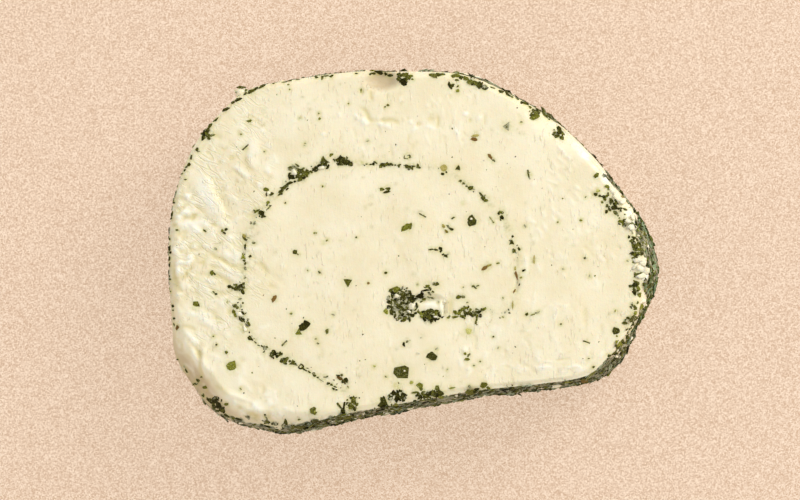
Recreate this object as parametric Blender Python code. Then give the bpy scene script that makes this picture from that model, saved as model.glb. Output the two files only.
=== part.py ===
"""A slice of herbed cream cheese, cut from a roll and lying on its back face.

The cheese was spread with chopped herbs, rolled up and coated with more of them. So the cut face
shows a spiral seam of herbs, and the side carries a coat of flakes. Metres, +Z up, +X to the right
and +Y to the top of the slice as it is seen from above. The origin is under the middle of the
slice, on the surface that it lies on. The places below are measured from the middle of the cut
face, and the finished slice is moved over by the small difference.
"""

import math
import random

import bmesh
import bpy
import numpy as np
from mathutils import Matrix, Vector, noise

MM = 0.001

# Driving sizes, in millimetres
THICKNESS = 22.0
GAP = 0.3
SIDE_BULGE = 0.7
SIDE_UNEVEN = 0.35
BACK_INSET = 0.5
FACE_WAVE = 0.22
CHIP_THICKNESS = 0.7
CHIP_STANDS_PROUD = 0.24

# The cut face's rim, in millimetres, once round from the right. It is squashed flat along the
# bottom, and its lower left corner is the sharpest.
RIM = (
    (48.0, -3.4), (45.9, 4.5), (42.1, 11.0), (36.4, 18.4), (28.4, 26.0), (20.0, 31.0),
    (11.1, 34.6), (0.0, 35.2), (-12.0, 35.3), (-24.1, 33.8), (-31.6, 32.2), (-36.8, 28.3),
    (-42.1, 22.2), (-45.4, 15.6), (-47.6, 7.2), (-48.3, -2.0), (-47.7, -13.9), (-47.2, -21.2),
    (-43.0, -28.3), (-38.5, -32.5), (-32.0, -34.6), (-24.5, -35.5), (-12.7, -32.9), (0.0, -30.6),
    (13.9, -28.3), (27.9, -26.9), (35.8, -25.5), (40.3, -22.0), (43.6, -17.9), (46.7, -11.8),
)

# Where the face falls away to the rim: degrees round it, the spread in degrees, depth and width
# in millimetres. The lower left corner slumps most, and the left edge is rolled over.
EDGE_FALLS = (
    (213.0, 13.0, 5.6, 5.6),
    (232.0, 9.0, 2.6, 4.6),
    (186.0, 16.0, 1.2, 2.2),
    (40.0, 12.0, 0.9, 4.0),
)
RIM_ROUNDING = 0.5

# Where the side leans in towards the back: degrees round it, the spread in degrees, and how far
# in the back edge is
SIDE_LEANS = ((44.0, 24.0, 2.0), (14.0, 9.0, 0.6), (-17.5, 6.0, 2.0))

# The herb seam from the rim to the core, as x, y and width in millimetres. Wide places are clumps.
SEAM = (
    (-11.4, -32.0, 1.1), (-11.1, -30.6, 1.7), (-12.0, -28.6, 0.9), (-14.6, -26.6, 1.2),
    (-18.2, -24.6, 0.6), (-21.3, -23.1, 1.0), (-23.9, -21.9, 1.3), (-26.5, -20.7, 1.2),
    (-30.2, -18.0, 0.6), (-32.4, -15.2, 1.4), (-33.6, -11.6, 1.1), (-33.0, -7.4, 1.6),
    (-32.8, -3.0, 0.7), (-32.4, 1.2, 1.2), (-30.6, 6.4, 0.7), (-28.2, 8.8, 1.3),
    (-25.3, 11.9, 0.8), (-22.5, 15.1, 2.2), (-18.7, 16.5, 0.9), (-15.8, 17.3, 1.5),
    (-12.8, 17.6, 1.8), (-8.6, 17.0, 0.5), (-3.7, 16.7, 0.8), (1.5, 16.4, 0.9),
    (8.0, 15.2, 0.8), (13.2, 12.1, 1.0), (16.4, 9.7, 0.9), (19.4, 6.3, 1.3),
    (21.8, 1.1, 1.0), (22.6, -4.0, 0.6), (22.0, -9.8, 0.7), (19.8, -13.2, 0.6),
    (16.2, -12.5, 1.0), (12.0, -12.6, 1.5), (8.0, -13.2, 0.7), (4.6, -13.0, 1.5),
    (1.5, -12.4, 2.6), (-0.3, -11.4, 5.0), (-2.3, -10.7, 5.6), (-3.8, -10.3, 3.2),
)

# Two scoops out of the face: centre, and half sizes along x, y and down, in millimetres
CORE_HOLLOW = ((4.1, -9.9), (3.2, 1.5, 1.3))
RIM_NOTCH = ((-4.8, 34.4), (3.6, 3.0, 2.4))

# Mesh steps
RIM_STEPS = 88
WALL_STEPS = 5
FACE_RINGS = (0.985, 0.955, 0.91, 0.84, 0.74, 0.62, 0.49, 0.36, 0.23, 0.11)
BACK_RINGS = (0.35, 0.7)
SEAM_STEPS_PER_LEG = 3

# Herb flakes that are fused to the cheese
SEED = 11
CHIP_CORNERS = 6
FACE_CHIPS = 56
FACE_CHIP_SIZES = (1.3, 2.2)
FACE_CHIP_SPACING = 3.2
COAT_ROWS = 5
COAT_COLUMNS = 38
COAT_CHIP_SIZES = (1.8, 3.0)

# Flakes that show from a step away: x, y and size in millimetres
LARGE_CHIPS = (
    (-21.2, -15.3, 2.9), (-1.6, -24.4, 3.2), (4.4, -21.2, 2.4), (12.2, 5.8, 2.6),
    (-35.6, -23.4, 2.4), (-42.6, -11.2, 1.9), (-0.6, 34.0, 2.9), (25.2, 26.8, 2.0),
    (29.8, 23.4, 2.3), (41.2, -16.2, 2.0), (41.8, -18.6, 1.9), (-19.0, -32.2, 2.0),
    (14.8, -27.2, 2.4), (-5.4, -30.2, 2.4), (37.2, 11.2, 2.2), (41.4, 7.6, 2.6),
)


def smooth_step(t):
    """0 before 0, 1 after 1, and a smooth rise between them."""
    t = min(1.0, max(0.0, t))
    return t * t * (3.0 - 2.0 * t)


def through_points(points, steps, closed):
    """Points on a Catmull-Rom curve through the given ones, which may carry widths too."""
    points = [np.array(p, float) for p in points]
    legs = len(points) if closed else len(points) - 1
    found = []
    for leg in range(legs):
        if closed:
            a, b, c, d = (points[(leg + k) % len(points)] for k in (-1, 0, 1, 2))
        else:
            b, c = points[leg], points[leg + 1]
            a = points[leg - 1] if leg else 2 * b - c
            d = points[leg + 2] if leg + 2 < len(points) else 2 * c - b
        for step in range(steps):
            t = step / steps
            found.append(
                b + 0.5 * t * (c - a + t * (2 * a - 5 * b + 4 * c - d + t * (3 * (b - c) + d - a)))
            )
    if not closed:
        found.append(points[-1])
    return np.array(found)


RIM_CURVE = through_points(RIM, 8, True)
RIM_ANGLES = np.unwrap(np.arctan2(RIM_CURVE[:, 1], RIM_CURVE[:, 0]))
RIM_REACH = np.hypot(RIM_CURVE[:, 0], RIM_CURVE[:, 1])
SEAM_CURVE = through_points(SEAM, SEAM_STEPS_PER_LEG, False)


def rim_radius(angle):
    """How far the rim is from the middle of the face, in a direction in radians."""
    return float(np.interp(angle, RIM_ANGLES, RIM_REACH, period=math.tau))


def inset_of(x, y):
    """How far a place on the face is inside the rim, along the line from the middle."""
    return rim_radius(math.atan2(y, x)) - math.hypot(x, y)


def seam_clearance(x, y):
    """How far a place is from the herb seam's edge."""
    away = np.hypot(SEAM_CURVE[:, 0] - x, SEAM_CURVE[:, 1] - y) - SEAM_CURVE[:, 2] / 2
    return float(away.min())


def face_height(x, y):
    """Height of the cut face over a place: knife waves, less the falls at the rim."""
    inset = inset_of(x, y)
    turn = math.degrees(math.atan2(y, x)) % 360.0
    height = THICKNESS - FACE_WAVE + FACE_WAVE * noise.noise(Vector((x / 9.0, y / 14.0, 3.0)))
    height -= RIM_ROUNDING * (1.0 - smooth_step(inset / 1.2))
    for middle, spread, depth, width in EDGE_FALLS:
        off = (turn - middle + 180.0) % 360.0 - 180.0
        here = math.exp(-((off / spread) ** 2))
        height -= depth * here * (1.0 - smooth_step(inset / (width * (0.4 + 0.6 * here))))
    return height


def wall_point(angle, share):
    """A point of the side, from the back face at share 0 to the rim at share 1.

    The side bulges at half height, and on the right it leans in towards the back in places.
    """
    across = Vector((math.cos(angle), math.sin(angle)))
    top = face_height(*(across * rim_radius(angle)))
    reach = rim_radius(angle) - BACK_INSET * (1.0 - smooth_step(share * 3.0))
    reach += SIDE_BULGE * math.sin(math.pi * share)
    for middle, spread, depth in SIDE_LEANS:
        off = (math.degrees(angle) - middle + 180.0) % 360.0 - 180.0
        reach -= depth * math.exp(-((off / spread) ** 2)) * (1.0 - share)
    lump = noise.noise(Vector((across.x * 6.0, across.y * 6.0, share * 3.0)))
    reach += SIDE_UNEVEN * lump * math.sin(math.pi * share)
    return Vector((across.x * reach, across.y * reach, top * share))


def new_object(name, bm, material=None):
    """An object of that name, from a bmesh in millimetres."""
    bmesh.ops.scale(bm, vec=(MM, MM, MM), verts=bm.verts)
    mesh = bpy.data.meshes.new(name)
    bm.to_mesh(mesh)
    bm.free()
    obj = bpy.data.objects.new(name, mesh)
    bpy.context.scene.collection.objects.link(obj)
    if material:
        mesh.materials.append(material)
    return obj


def make_material(name, colour, roughness):
    """A plain Principled material."""
    material = bpy.data.materials.new(name)
    material.use_nodes = True
    shader = material.node_tree.nodes["Principled BSDF"]
    shader.inputs["Base Color"].default_value = (*colour, 1.0)
    shader.inputs["Roughness"].default_value = roughness
    shader.inputs["Metallic"].default_value = 0.0
    return material


def grow_ring(bm, edges, place):
    """Extrudes a ring of edges and puts each new point where place says, from its direction."""
    grown = bmesh.ops.extrude_edge_only(bm, edges=edges)["geom"]
    for vert in (g for g in grown if isinstance(g, bmesh.types.BMVert)):
        vert.co = place(math.atan2(vert.co.y, vert.co.x))
    return [g for g in grown if isinstance(g, bmesh.types.BMEdge) and len(g.link_faces) == 1]


def disc_place(share, height):
    """Places a ring on a face at a share of the way from its middle to the rim."""

    def place(angle):
        reach = share * rim_radius(angle)
        x, y = reach * math.cos(angle), reach * math.sin(angle)
        return Vector((x, y, height(x, y)))

    return place


def make_slab():
    """The cheese before it is cut along the seam: back face, side and cut face as rings."""
    bm = bmesh.new()
    start = bmesh.ops.create_circle(bm, cap_ends=True, segments=RIM_STEPS, radius=1.0)["verts"]
    to_back = (rim_radius(0.0) - BACK_INSET) / rim_radius(0.0)
    first = disc_place(BACK_RINGS[0], lambda x, y: 0.0)
    for vert in start:
        vert.co = first(math.atan2(vert.co.y, vert.co.x))
    bmesh.ops.poke(bm, faces=bm.faces[:])
    ring = [e for e in bm.edges if len(e.link_faces) == 1]
    for share in (*BACK_RINGS[1:], 1.0):
        flat = disc_place(share * to_back, lambda x, y: 0.0)
        place = flat if share < 1.0 else (lambda angle: wall_point(angle, 0.0))
        ring = grow_ring(bm, ring, place)
    for row in range(1, WALL_STEPS + 1):
        ring = grow_ring(bm, ring, lambda angle, row=row: wall_point(angle, row / WALL_STEPS))
    for share in FACE_RINGS:
        ring = grow_ring(bm, ring, disc_place(share, face_height))
    cap = bmesh.ops.contextual_create(bm, geom=ring)["faces"]
    bmesh.ops.poke(bm, faces=cap)
    bmesh.ops.recalc_face_normals(bm, faces=bm.faces)
    bmesh.ops.triangulate(bm, faces=bm.faces[:])
    return new_object("cream_cheese", bm, make_material("cheese", (0.91, 0.83, 0.60), 0.5))


def make_ribbon(name, widen, low, high, run_out, material=None):
    """A standing ribbon along the seam, from low to high, wider than the herbs by widen."""
    points = SEAM_CURVE.copy()
    step = points[1:, :2] - points[:-1, :2]
    ends = np.vstack([step[:1], step, step[-1:]])
    along = ends[1:] + ends[:-1]
    along /= np.linalg.norm(along, axis=1)[:, None]
    points[0, :2] -= along[0] * run_out
    points[-1, :2] += along[-1] * widen
    bm = bmesh.new()
    sides = []
    for (x, y, width), (dx, dy) in zip(points, along):
        half = width / 2 + widen
        sides.append([bm.verts.new((x - s * dy * half, y + s * dx * half, low)) for s in (1, -1)])
    for (a, b), (c, d) in zip(sides, sides[1:]):
        bm.faces.new((a, c, d, b))
    grown = bmesh.ops.extrude_face_region(bm, geom=bm.faces[:], use_keep_orig=True)["geom"]
    for vert in (g for g in grown if isinstance(g, bmesh.types.BMVert)):
        vert.co.z = high(vert.co.x, vert.co.y)
    bmesh.ops.triangulate(bm, faces=bm.faces[:])
    bmesh.ops.recalc_face_normals(bm, faces=bm.faces)
    return new_object(name, bm, material)


def make_herb_seam():
    """The rolled-in layer of herbs. It stops a little above the surface that the slice lies on."""

    def top(x, y):
        return face_height(x, y) + 0.15 * noise.noise(Vector((x, y, 0.0)))

    green = make_material("herbs", (0.10, 0.10, 0.02), 0.7)
    return make_ribbon("herb_seam", 0.0, GAP, top, 0.0, green)


def make_scoop(name, place, half_sizes):
    """A lumpy ball that takes a scoop out of the face."""
    bm = bmesh.new()
    bmesh.ops.create_icosphere(bm, subdivisions=2, radius=1.0)
    for vert in bm.verts:
        vert.co *= 1.0 + 0.18 * noise.noise(vert.co * 2.0)
    bmesh.ops.scale(bm, vec=half_sizes, verts=bm.verts)
    height = THICKNESS - FACE_WAVE
    bmesh.ops.translate(bm, vec=(*place, height), verts=bm.verts)
    return new_object(name, bm)


def make_chip(draw, place, outwards, size):
    """An angular flake of herb, mostly sunk in the cheese, with its flat side facing outwards."""
    bm = bmesh.new()
    bmesh.ops.create_circle(bm, cap_ends=True, segments=CHIP_CORNERS, radius=size / 2)
    for vert in bm.verts:
        vert.co *= draw.uniform(0.72, 1.0)
    grown = bmesh.ops.extrude_face_region(bm, geom=bm.faces[:], use_keep_orig=True)["geom"]
    lifted = [g for g in grown if isinstance(g, bmesh.types.BMVert)]
    bmesh.ops.translate(bm, vec=(0, 0, CHIP_THICKNESS), verts=lifted)
    bmesh.ops.translate(bm, vec=(0, 0, CHIP_STANDS_PROUD - CHIP_THICKNESS), verts=bm.verts)
    lean = Vector((draw.uniform(-0.12, 0.12), draw.uniform(-0.12, 0.12), 1.0))
    turn = outwards.to_track_quat("Z", "Y") @ lean.to_track_quat("Z", "Y")
    spin = Matrix.Rotation(draw.uniform(0.0, math.tau), 3, "Z")
    bmesh.ops.rotate(bm, matrix=turn.to_matrix() @ spin, verts=bm.verts)
    bmesh.ops.translate(bm, vec=place, verts=bm.verts)
    bmesh.ops.recalc_face_normals(bm, faces=bm.faces)
    return new_object("chip", bm)


def in_scoop(x, y):
    """Whether a place is over one of the two scoops."""
    return any(
        math.hypot((x - middle[0]) / (half[0] + 1.2), (y - middle[1]) / (half[1] + 1.2)) < 1.0
        for middle, half in (CORE_HOLLOW, RIM_NOTCH)
    )


def face_chips(draw):
    """Flakes on the cut face: the large ones first, then smaller ones, all clear of the seam."""
    taken = []
    for x, y, size in LARGE_CHIPS:
        if seam_clearance(x, y) > size / 2 + GAP + 0.2:
            taken.append((x, y, size))
    while len(taken) < FACE_CHIPS:
        angle = draw.uniform(0.0, math.tau)
        reach = rim_radius(angle) * math.sqrt(draw.random()) - 1.2
        x, y = reach * math.cos(angle), reach * math.sin(angle)
        size = draw.uniform(*FACE_CHIP_SIZES)
        near = any(math.hypot(x - a, y - b) < FACE_CHIP_SPACING for a, b, _ in taken)
        if near or in_scoop(x, y) or inset_of(x, y) < 1.5:
            continue
        if seam_clearance(x, y) > size / 2 + GAP + 0.2:
            taken.append((x, y, size))
    for x, y, size in taken:
        yield make_chip(draw, Vector((x, y, face_height(x, y))), Vector((0, 0, 1)), size)


def coat_chips(draw):
    """Flakes pressed into the side, in staggered rows."""
    mouth = math.atan2(SEAM[0][1], SEAM[0][0])
    for row in range(COAT_ROWS):
        for column in range(COAT_COLUMNS):
            angle = (column + 0.5 * (row % 2) + draw.uniform(-0.25, 0.25)) / COAT_COLUMNS * math.tau
            share = (row + 0.65 + draw.uniform(-0.22, 0.22)) / (COAT_ROWS + 0.3)
            size = draw.uniform(*COAT_CHIP_SIZES)
            if abs((angle - mouth + math.pi) % math.tau - math.pi) < 0.08:
                continue
            here = wall_point(angle, share)
            ahead, above = wall_point(angle + 0.02, share), wall_point(angle, share + 0.05)
            outwards = (ahead - here).cross(above - here).normalized()
            if here.z > size / 2 + 0.4:
                yield make_chip(draw, here, outwards, size)


def use_boolean(obj, operation, others, solver):
    """Joins or cuts obj with the others, applies it, and removes them."""
    group = bpy.data.collections.new(f"{operation} group")
    bpy.context.scene.collection.children.link(group)
    for other in others:
        bpy.context.scene.collection.objects.unlink(other)
        group.objects.link(other)
    change = obj.modifiers.new(operation, "BOOLEAN")
    change.operation = operation
    change.operand_type = "COLLECTION"
    change.collection = group
    change.solver = solver
    graph = bpy.context.evaluated_depsgraph_get()
    made = bpy.data.meshes.new_from_object(obj.evaluated_get(graph))
    obj.modifiers.clear()
    old, obj.data = obj.data, made
    bpy.data.meshes.remove(old)
    for other in others:
        bpy.data.objects.remove(other)
    bpy.data.collections.remove(group)


def shade(obj):
    """Smooth shading, with the flakes' edges and the rim kept sharp."""
    obj.data.shade_smooth()
    obj.data.set_sharp_from_angle(angle=math.radians(35.0))


def centre(objects):
    """Moves the slice so that the origin is under the middle of its outer box."""
    corners = np.array([tuple(v.co) for obj in objects for v in obj.data.vertices])
    middle = (corners.min(axis=0) + corners.max(axis=0)) / 2
    shift = Matrix.Translation((-middle[0], -middle[1], -corners[:, 2].min()))
    for obj in objects:
        obj.data.transform(shift)


def main():
    for obj in list(bpy.data.objects):
        bpy.data.objects.remove(obj)
    draw = random.Random(SEED)
    cheese = make_slab()
    scoops = [make_scoop("core scoop", *CORE_HOLLOW), make_scoop("rim scoop", *RIM_NOTCH)]
    use_boolean(cheese, "DIFFERENCE", scoops, "EXACT")
    use_boolean(cheese, "UNION", [*face_chips(draw), *coat_chips(draw)], "EXACT")
    slot = make_ribbon("slot", GAP, -2.0, lambda x, y: THICKNESS + 3.0, 4.0)
    use_boolean(cheese, "DIFFERENCE", [slot], "EXACT")
    herbs = make_herb_seam()
    centre([cheese, herbs])
    shade(cheese)
    shade(herbs)


main()
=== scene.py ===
# %% [markdown]
# # A slice of herbed cream cheese
#
# The real thing is fresh cheese that was spread with chopped herbs, rolled up, rolled again in
# herbs and cut across. So the cut face is pale cheese with a dark spiral seam, and the side is a
# crust of flakes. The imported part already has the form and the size. This script makes what it
# leaves out: the knife marks, the stains, and every flake in its own place and colour.

import math
import random

import bmesh
import bpy
import numpy as np
from mathutils import Matrix, Vector, noise
from mathutils.bvhtree import BVHTree


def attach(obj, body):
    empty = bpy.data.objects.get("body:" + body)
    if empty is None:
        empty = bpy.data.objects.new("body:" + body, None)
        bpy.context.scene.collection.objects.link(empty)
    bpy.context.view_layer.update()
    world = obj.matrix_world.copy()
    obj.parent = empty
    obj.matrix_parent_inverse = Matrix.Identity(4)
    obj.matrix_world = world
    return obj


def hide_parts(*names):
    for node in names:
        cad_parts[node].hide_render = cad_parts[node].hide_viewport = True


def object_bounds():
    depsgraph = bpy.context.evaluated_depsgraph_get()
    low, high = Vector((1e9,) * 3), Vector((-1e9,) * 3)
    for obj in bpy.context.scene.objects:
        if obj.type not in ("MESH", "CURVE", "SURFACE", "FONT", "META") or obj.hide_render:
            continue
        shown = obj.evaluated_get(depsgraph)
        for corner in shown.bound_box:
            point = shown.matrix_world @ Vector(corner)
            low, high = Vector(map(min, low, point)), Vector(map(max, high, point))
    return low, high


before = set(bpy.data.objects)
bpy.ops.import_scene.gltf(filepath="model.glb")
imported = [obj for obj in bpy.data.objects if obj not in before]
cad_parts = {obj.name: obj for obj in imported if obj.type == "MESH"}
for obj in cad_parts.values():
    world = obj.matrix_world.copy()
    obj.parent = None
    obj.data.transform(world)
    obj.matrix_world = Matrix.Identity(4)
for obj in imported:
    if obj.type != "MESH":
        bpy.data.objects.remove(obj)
cad_low, cad_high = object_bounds()
MM = 0.001
print("part, mm:", [round((b - a) / MM, 1) for a, b in zip(cad_low, cad_high)])

# %% Putting things in the scene
def put_in_scene(name, data):
    """An object for a camera, a light or a mesh, at the origin."""
    made = bpy.data.objects.new(name, data)
    bpy.context.scene.collection.objects.link(made)
    return made


def as_mesh(bm, name):
    """Turns an edited mesh into one that objects and piles can use."""
    mesh = bpy.data.meshes.new(name)
    bm.to_mesh(mesh)
    bm.free()
    return mesh

# %% [markdown]
# ## The camera
#
# The slice is seen from nearly straight above, from a little to the right and below, so a thin
# band of its crust shows there. A long lens far away keeps the outline as flat as it is in the
# photograph. The camera is made first, because flakes are later placed by looking through it.

# %% Camera
IMAGE_SIZE = (800, 500)
PIXEL = 0.19877
LOOK_AT = Vector((-0.886, -0.378, 22.0))
TO_CAMERA = Vector((0.165, -0.055, 1.0)).normalized()
CAMERA_AWAY = 1400.0
SENSOR = 36.0
CLIP = (0.05, 20.0)

SIDEWAYS = Vector((0.0, 1.0, 0.0)).cross(TO_CAMERA).normalized()
UPWARDS = TO_CAMERA.cross(SIDEWAYS)
EYE = LOOK_AT + TO_CAMERA * CAMERA_AWAY

camera_data = bpy.data.cameras.new("camera")
camera_data.sensor_width = SENSOR
camera_data.lens = SENSOR * CAMERA_AWAY / (IMAGE_SIZE[0] * PIXEL)
camera_data.clip_start, camera_data.clip_end = CLIP
camera = put_in_scene("camera", camera_data)
turned = Matrix((SIDEWAYS, UPWARDS, TO_CAMERA)).transposed().to_4x4()
camera.matrix_world = Matrix.Translation(EYE * MM) @ turned
bpy.context.scene.camera = camera
print("camera, m:", [round(c, 3) for c in camera.location])


def ray_through(px, py):
    """Unit direction from the eye through a place in the 800 by 500 image."""
    across = SIDEWAYS * ((px - IMAGE_SIZE[0] / 2) * PIXEL)
    up = UPWARDS * ((IMAGE_SIZE[1] / 2 - py) * PIXEL)
    return (LOOK_AT + across + up - EYE).normalized()


# %% [markdown]
# ## The form that the part has
#
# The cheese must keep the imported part's shape, so these are the same named sizes and the same
# sums: the rim as a smooth closed curve, the falls where the face slumps to its edge, and the
# side's slight bulge. They are in millimetres from the middle of the cut face, and SHIFT moves
# them to the part's own origin.

# %% Sizes carried over from the part
SHIFT = Vector((0.166, -0.103, 0.0))
THICKNESS = 22.0
SIDE_BULGE = 0.7
SIDE_UNEVEN = 0.35
SIDE_LEANS = ((44.0, 24.0, 2.0), (14.0, 9.0, 0.6), (-17.5, 6.0, 2.0))
BACK_INSET = 0.5
FACE_WAVE = 0.22
RIM_ROUNDING = 0.5
RIM = (
    (48, -3.4), (45.9, 4.5), (42.1, 11), (36.4, 18.4), (28.4, 26), (20, 31), (11.1, 34.6), (0, 35.2),
    (-12, 35.3), (-24.1, 33.8), (-31.6, 32.2), (-36.8, 28.3), (-42.1, 22.2), (-45.4, 15.6), (-47.6, 7.2),
    (-48.3, -2), (-47.7, -13.9), (-47.2, -21.2), (-43, -28.3), (-38.5, -32.5), (-32, -34.6), (-24.5, -35.5),
    (-12.7, -32.9), (0, -30.6), (13.9, -28.3), (27.9, -26.9), (35.8, -25.5), (40.3, -22), (43.6, -17.9),
    (46.7, -11.8),
)
# degrees round the rim, spread in degrees, depth, width
EDGE_FALLS = (
    (213, 13, 5.6, 5.6), (232, 9, 2.6, 4.6), (186, 16, 1.2, 2.2), (40, 12, .9, 4),
)
SEAM = (
    (-11.4, -32), (-11.1, -30.6), (-12, -28.6), (-14.6, -26.6), (-18.2, -24.6), (-21.3, -23.1),
    (-23.9, -21.9), (-26.5, -20.7), (-30.2, -18), (-32.4, -15.2), (-33.6, -11.6), (-33, -7.4), (-32.8, -3),
    (-32.4, 1.2), (-30.6, 6.4), (-28.2, 8.8), (-25.3, 11.9), (-22.5, 15.1), (-18.7, 16.5), (-15.8, 17.3),
    (-12.8, 17.6), (-8.6, 17), (-3.7, 16.7), (1.5, 16.4), (8, 15.2), (13.2, 12.1), (16.4, 9.7), (19.4, 6.3),
    (21.8, 1.1), (22.6, -4), (22, -9.8), (19.8, -13.2), (16.2, -12.5), (12, -12.6), (8, -13.2), (4.6, -13),
    (1.5, -12.4), (-.3, -11.4), (-2.3, -10.7), (-3.8, -10.3),
)


# %% The same curves as in the part
def smooth_step(t):
    """0 before 0, 1 after 1, and a smooth rise between them, for a number or an array."""
    t = np.clip(t, 0.0, 1.0)
    return t * t * (3.0 - 2.0 * t)


def through_points(points, steps, closed):
    """Points on a Catmull-Rom curve through the given ones."""
    points = [np.array(p, float) for p in points]
    legs = len(points) if closed else len(points) - 1
    found = []
    for leg in range(legs):
        if closed:
            a, b, c, d = (points[(leg + k) % len(points)] for k in (-1, 0, 1, 2))
        else:
            b, c = points[leg], points[leg + 1]
            a = points[leg - 1] if leg else 2 * b - c
            d = points[leg + 2] if leg + 2 < len(points) else 2 * c - b
        for step in range(steps):
            t = step / steps
            found.append(
                b + 0.5 * t * (c - a + t * (2 * a - 5 * b + 4 * c - d + t * (3 * (b - c) + d - a)))
            )
    if not closed:
        found.append(points[-1])
    return np.array(found)


RIM_CURVE = through_points(RIM, 8, True)
RIM_ANGLES = np.unwrap(np.arctan2(RIM_CURVE[:, 1], RIM_CURVE[:, 0]))
RIM_REACH = np.hypot(RIM_CURVE[:, 0], RIM_CURVE[:, 1])
SEAM_LINE = through_points(SEAM, 6, False)


def rim_radius(angle):
    """How far the rim is from the middle of the face, in a direction in radians."""
    return np.interp(angle, RIM_ANGLES, RIM_REACH, period=math.tau)


def noise_at(x, y, z):
    """Smooth noise at each of many places, whose z may be one number for all."""
    return np.array([noise.noise(Vector(p)) for p in zip(x, y, np.broadcast_to(z, len(x)))])


def degrees_off(angle, middle):
    """How far a direction in radians is from one in degrees, from -180 to 180 degrees."""
    return (np.degrees(angle) - middle + 180.0) % 360.0 - 180.0


def bell(off, width):
    """A mask that is 1 where off is 0 and nearly 0 from twice the width on."""
    return np.exp(-((off / width) ** 2))


def on_rim(angle):
    """Places on the rim, in directions in radians."""
    return rim_radius(angle) * np.cos(angle), rim_radius(angle) * np.sin(angle)


def face_height(x, y):
    """Height of the part's cut face over each of many places."""
    turn = np.arctan2(y, x)
    inset = rim_radius(turn) - np.hypot(x, y)
    height = THICKNESS - FACE_WAVE + FACE_WAVE * noise_at(x / 9.0, y / 14.0, 3.0)
    height -= RIM_ROUNDING * (1.0 - smooth_step(inset / 1.2))
    for middle, spread, depth, width in EDGE_FALLS:
        here = bell(degrees_off(turn, middle), spread)
        height -= depth * here * (1.0 - smooth_step(inset / (width * (0.4 + 0.6 * here))))
    return height


def side_reach(angle, share):
    """How far the side is from the middle, from its back edge at 0 to its rim at 1."""
    reach = rim_radius(angle) - BACK_INSET * (1.0 - smooth_step(share * 3.0))
    for middle, spread, depth in SIDE_LEANS:
        reach = reach - depth * bell(degrees_off(angle, middle), spread) * (1.0 - share)
    lump = noise_at(np.cos(angle) * 6.0, np.sin(angle) * 6.0, share * 3.0)
    return reach + (SIDE_BULGE + SIDE_UNEVEN * lump) * math.sin(math.pi * share)


print("rim, mm:", round(float(RIM_CURVE[:, 0].max() - RIM_CURVE[:, 0].min()), 1), "across")

# %% [markdown]
# ## Marks on the cut face
#
# A knife drags soft cheese: it leaves low ridges where it smears, grooves where it tears, and
# flat facets where it lifts. Each mark is a line on the face with a height and two widths, one
# for each side of it, so a ridge can be steep on one side and run out on the other. Places are
# pixels of the photograph, carried down the line of sight to the face. Sculpting by hand would
# also do, but a list can be read, changed and run again.

# %% From a pixel to the face
def table(text):
    """Rows of numbers, one row on each line of a text."""
    return [tuple(map(float, line.split())) for line in text.strip().splitlines()]


def on_face(px, py):
    """The place on the cut face, from its middle, that the camera sees at a pixel."""
    ray = ray_through(px, py)
    height = THICKNESS
    for _ in range(4):
        spot = EYE + ray * ((height - EYE.z) / ray.z) - SHIFT
        height = float(face_height(np.array([spot.x]), np.array([spot.y]))[0])
    return np.array((spot.x, spot.y))


def beside_line(x, y, line):
    """For each place: signed distance from a line of points, and how far along it that is."""
    best = np.full(len(x), 1e9)
    side = np.ones(len(x))
    along = np.zeros(len(x))
    steps = np.hypot(*np.diff(line, axis=0).T)
    walked = np.concatenate(([0.0], np.cumsum(steps)))
    for a, b, length, start in zip(line[:-1], line[1:], steps, walked):
        way = (b - a) / length
        rx, ry = x - a[0], y - a[1]
        t = np.clip(rx * way[0] + ry * way[1], 0.0, length)
        away = np.hypot(rx - way[0] * t, ry - way[1] * t)
        closer = away < best
        best = np.where(closer, away, best)
        side = np.where(closer, np.sign(way[0] * ry - way[1] * rx), side)
        along = np.where(closer, (start + t) / walked[-1], along)
    return best * side, along


def stroke(x, y, line, left, right, ends=0.35):
    """A mask of 1 on a line that falls to 0 over a width to each side and towards its ends."""
    mask = np.zeros(len(x))
    margin = 2.6 * max(left, right)
    low, high = line.min(axis=0) - margin, line.max(axis=0) + margin
    near = (x > low[0]) & (x < high[0]) & (y > low[1]) & (y < high[1])
    if not near.any():
        return mask
    off, along = beside_line(x[near], y[near], line)
    width = np.where(off > 0.0, left, right)
    taper = smooth_step(along / ends) * smooth_step((1.0 - along) / ends) if ends else 1.0
    mask[near] = bell(off, width) * taper
    return mask


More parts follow.
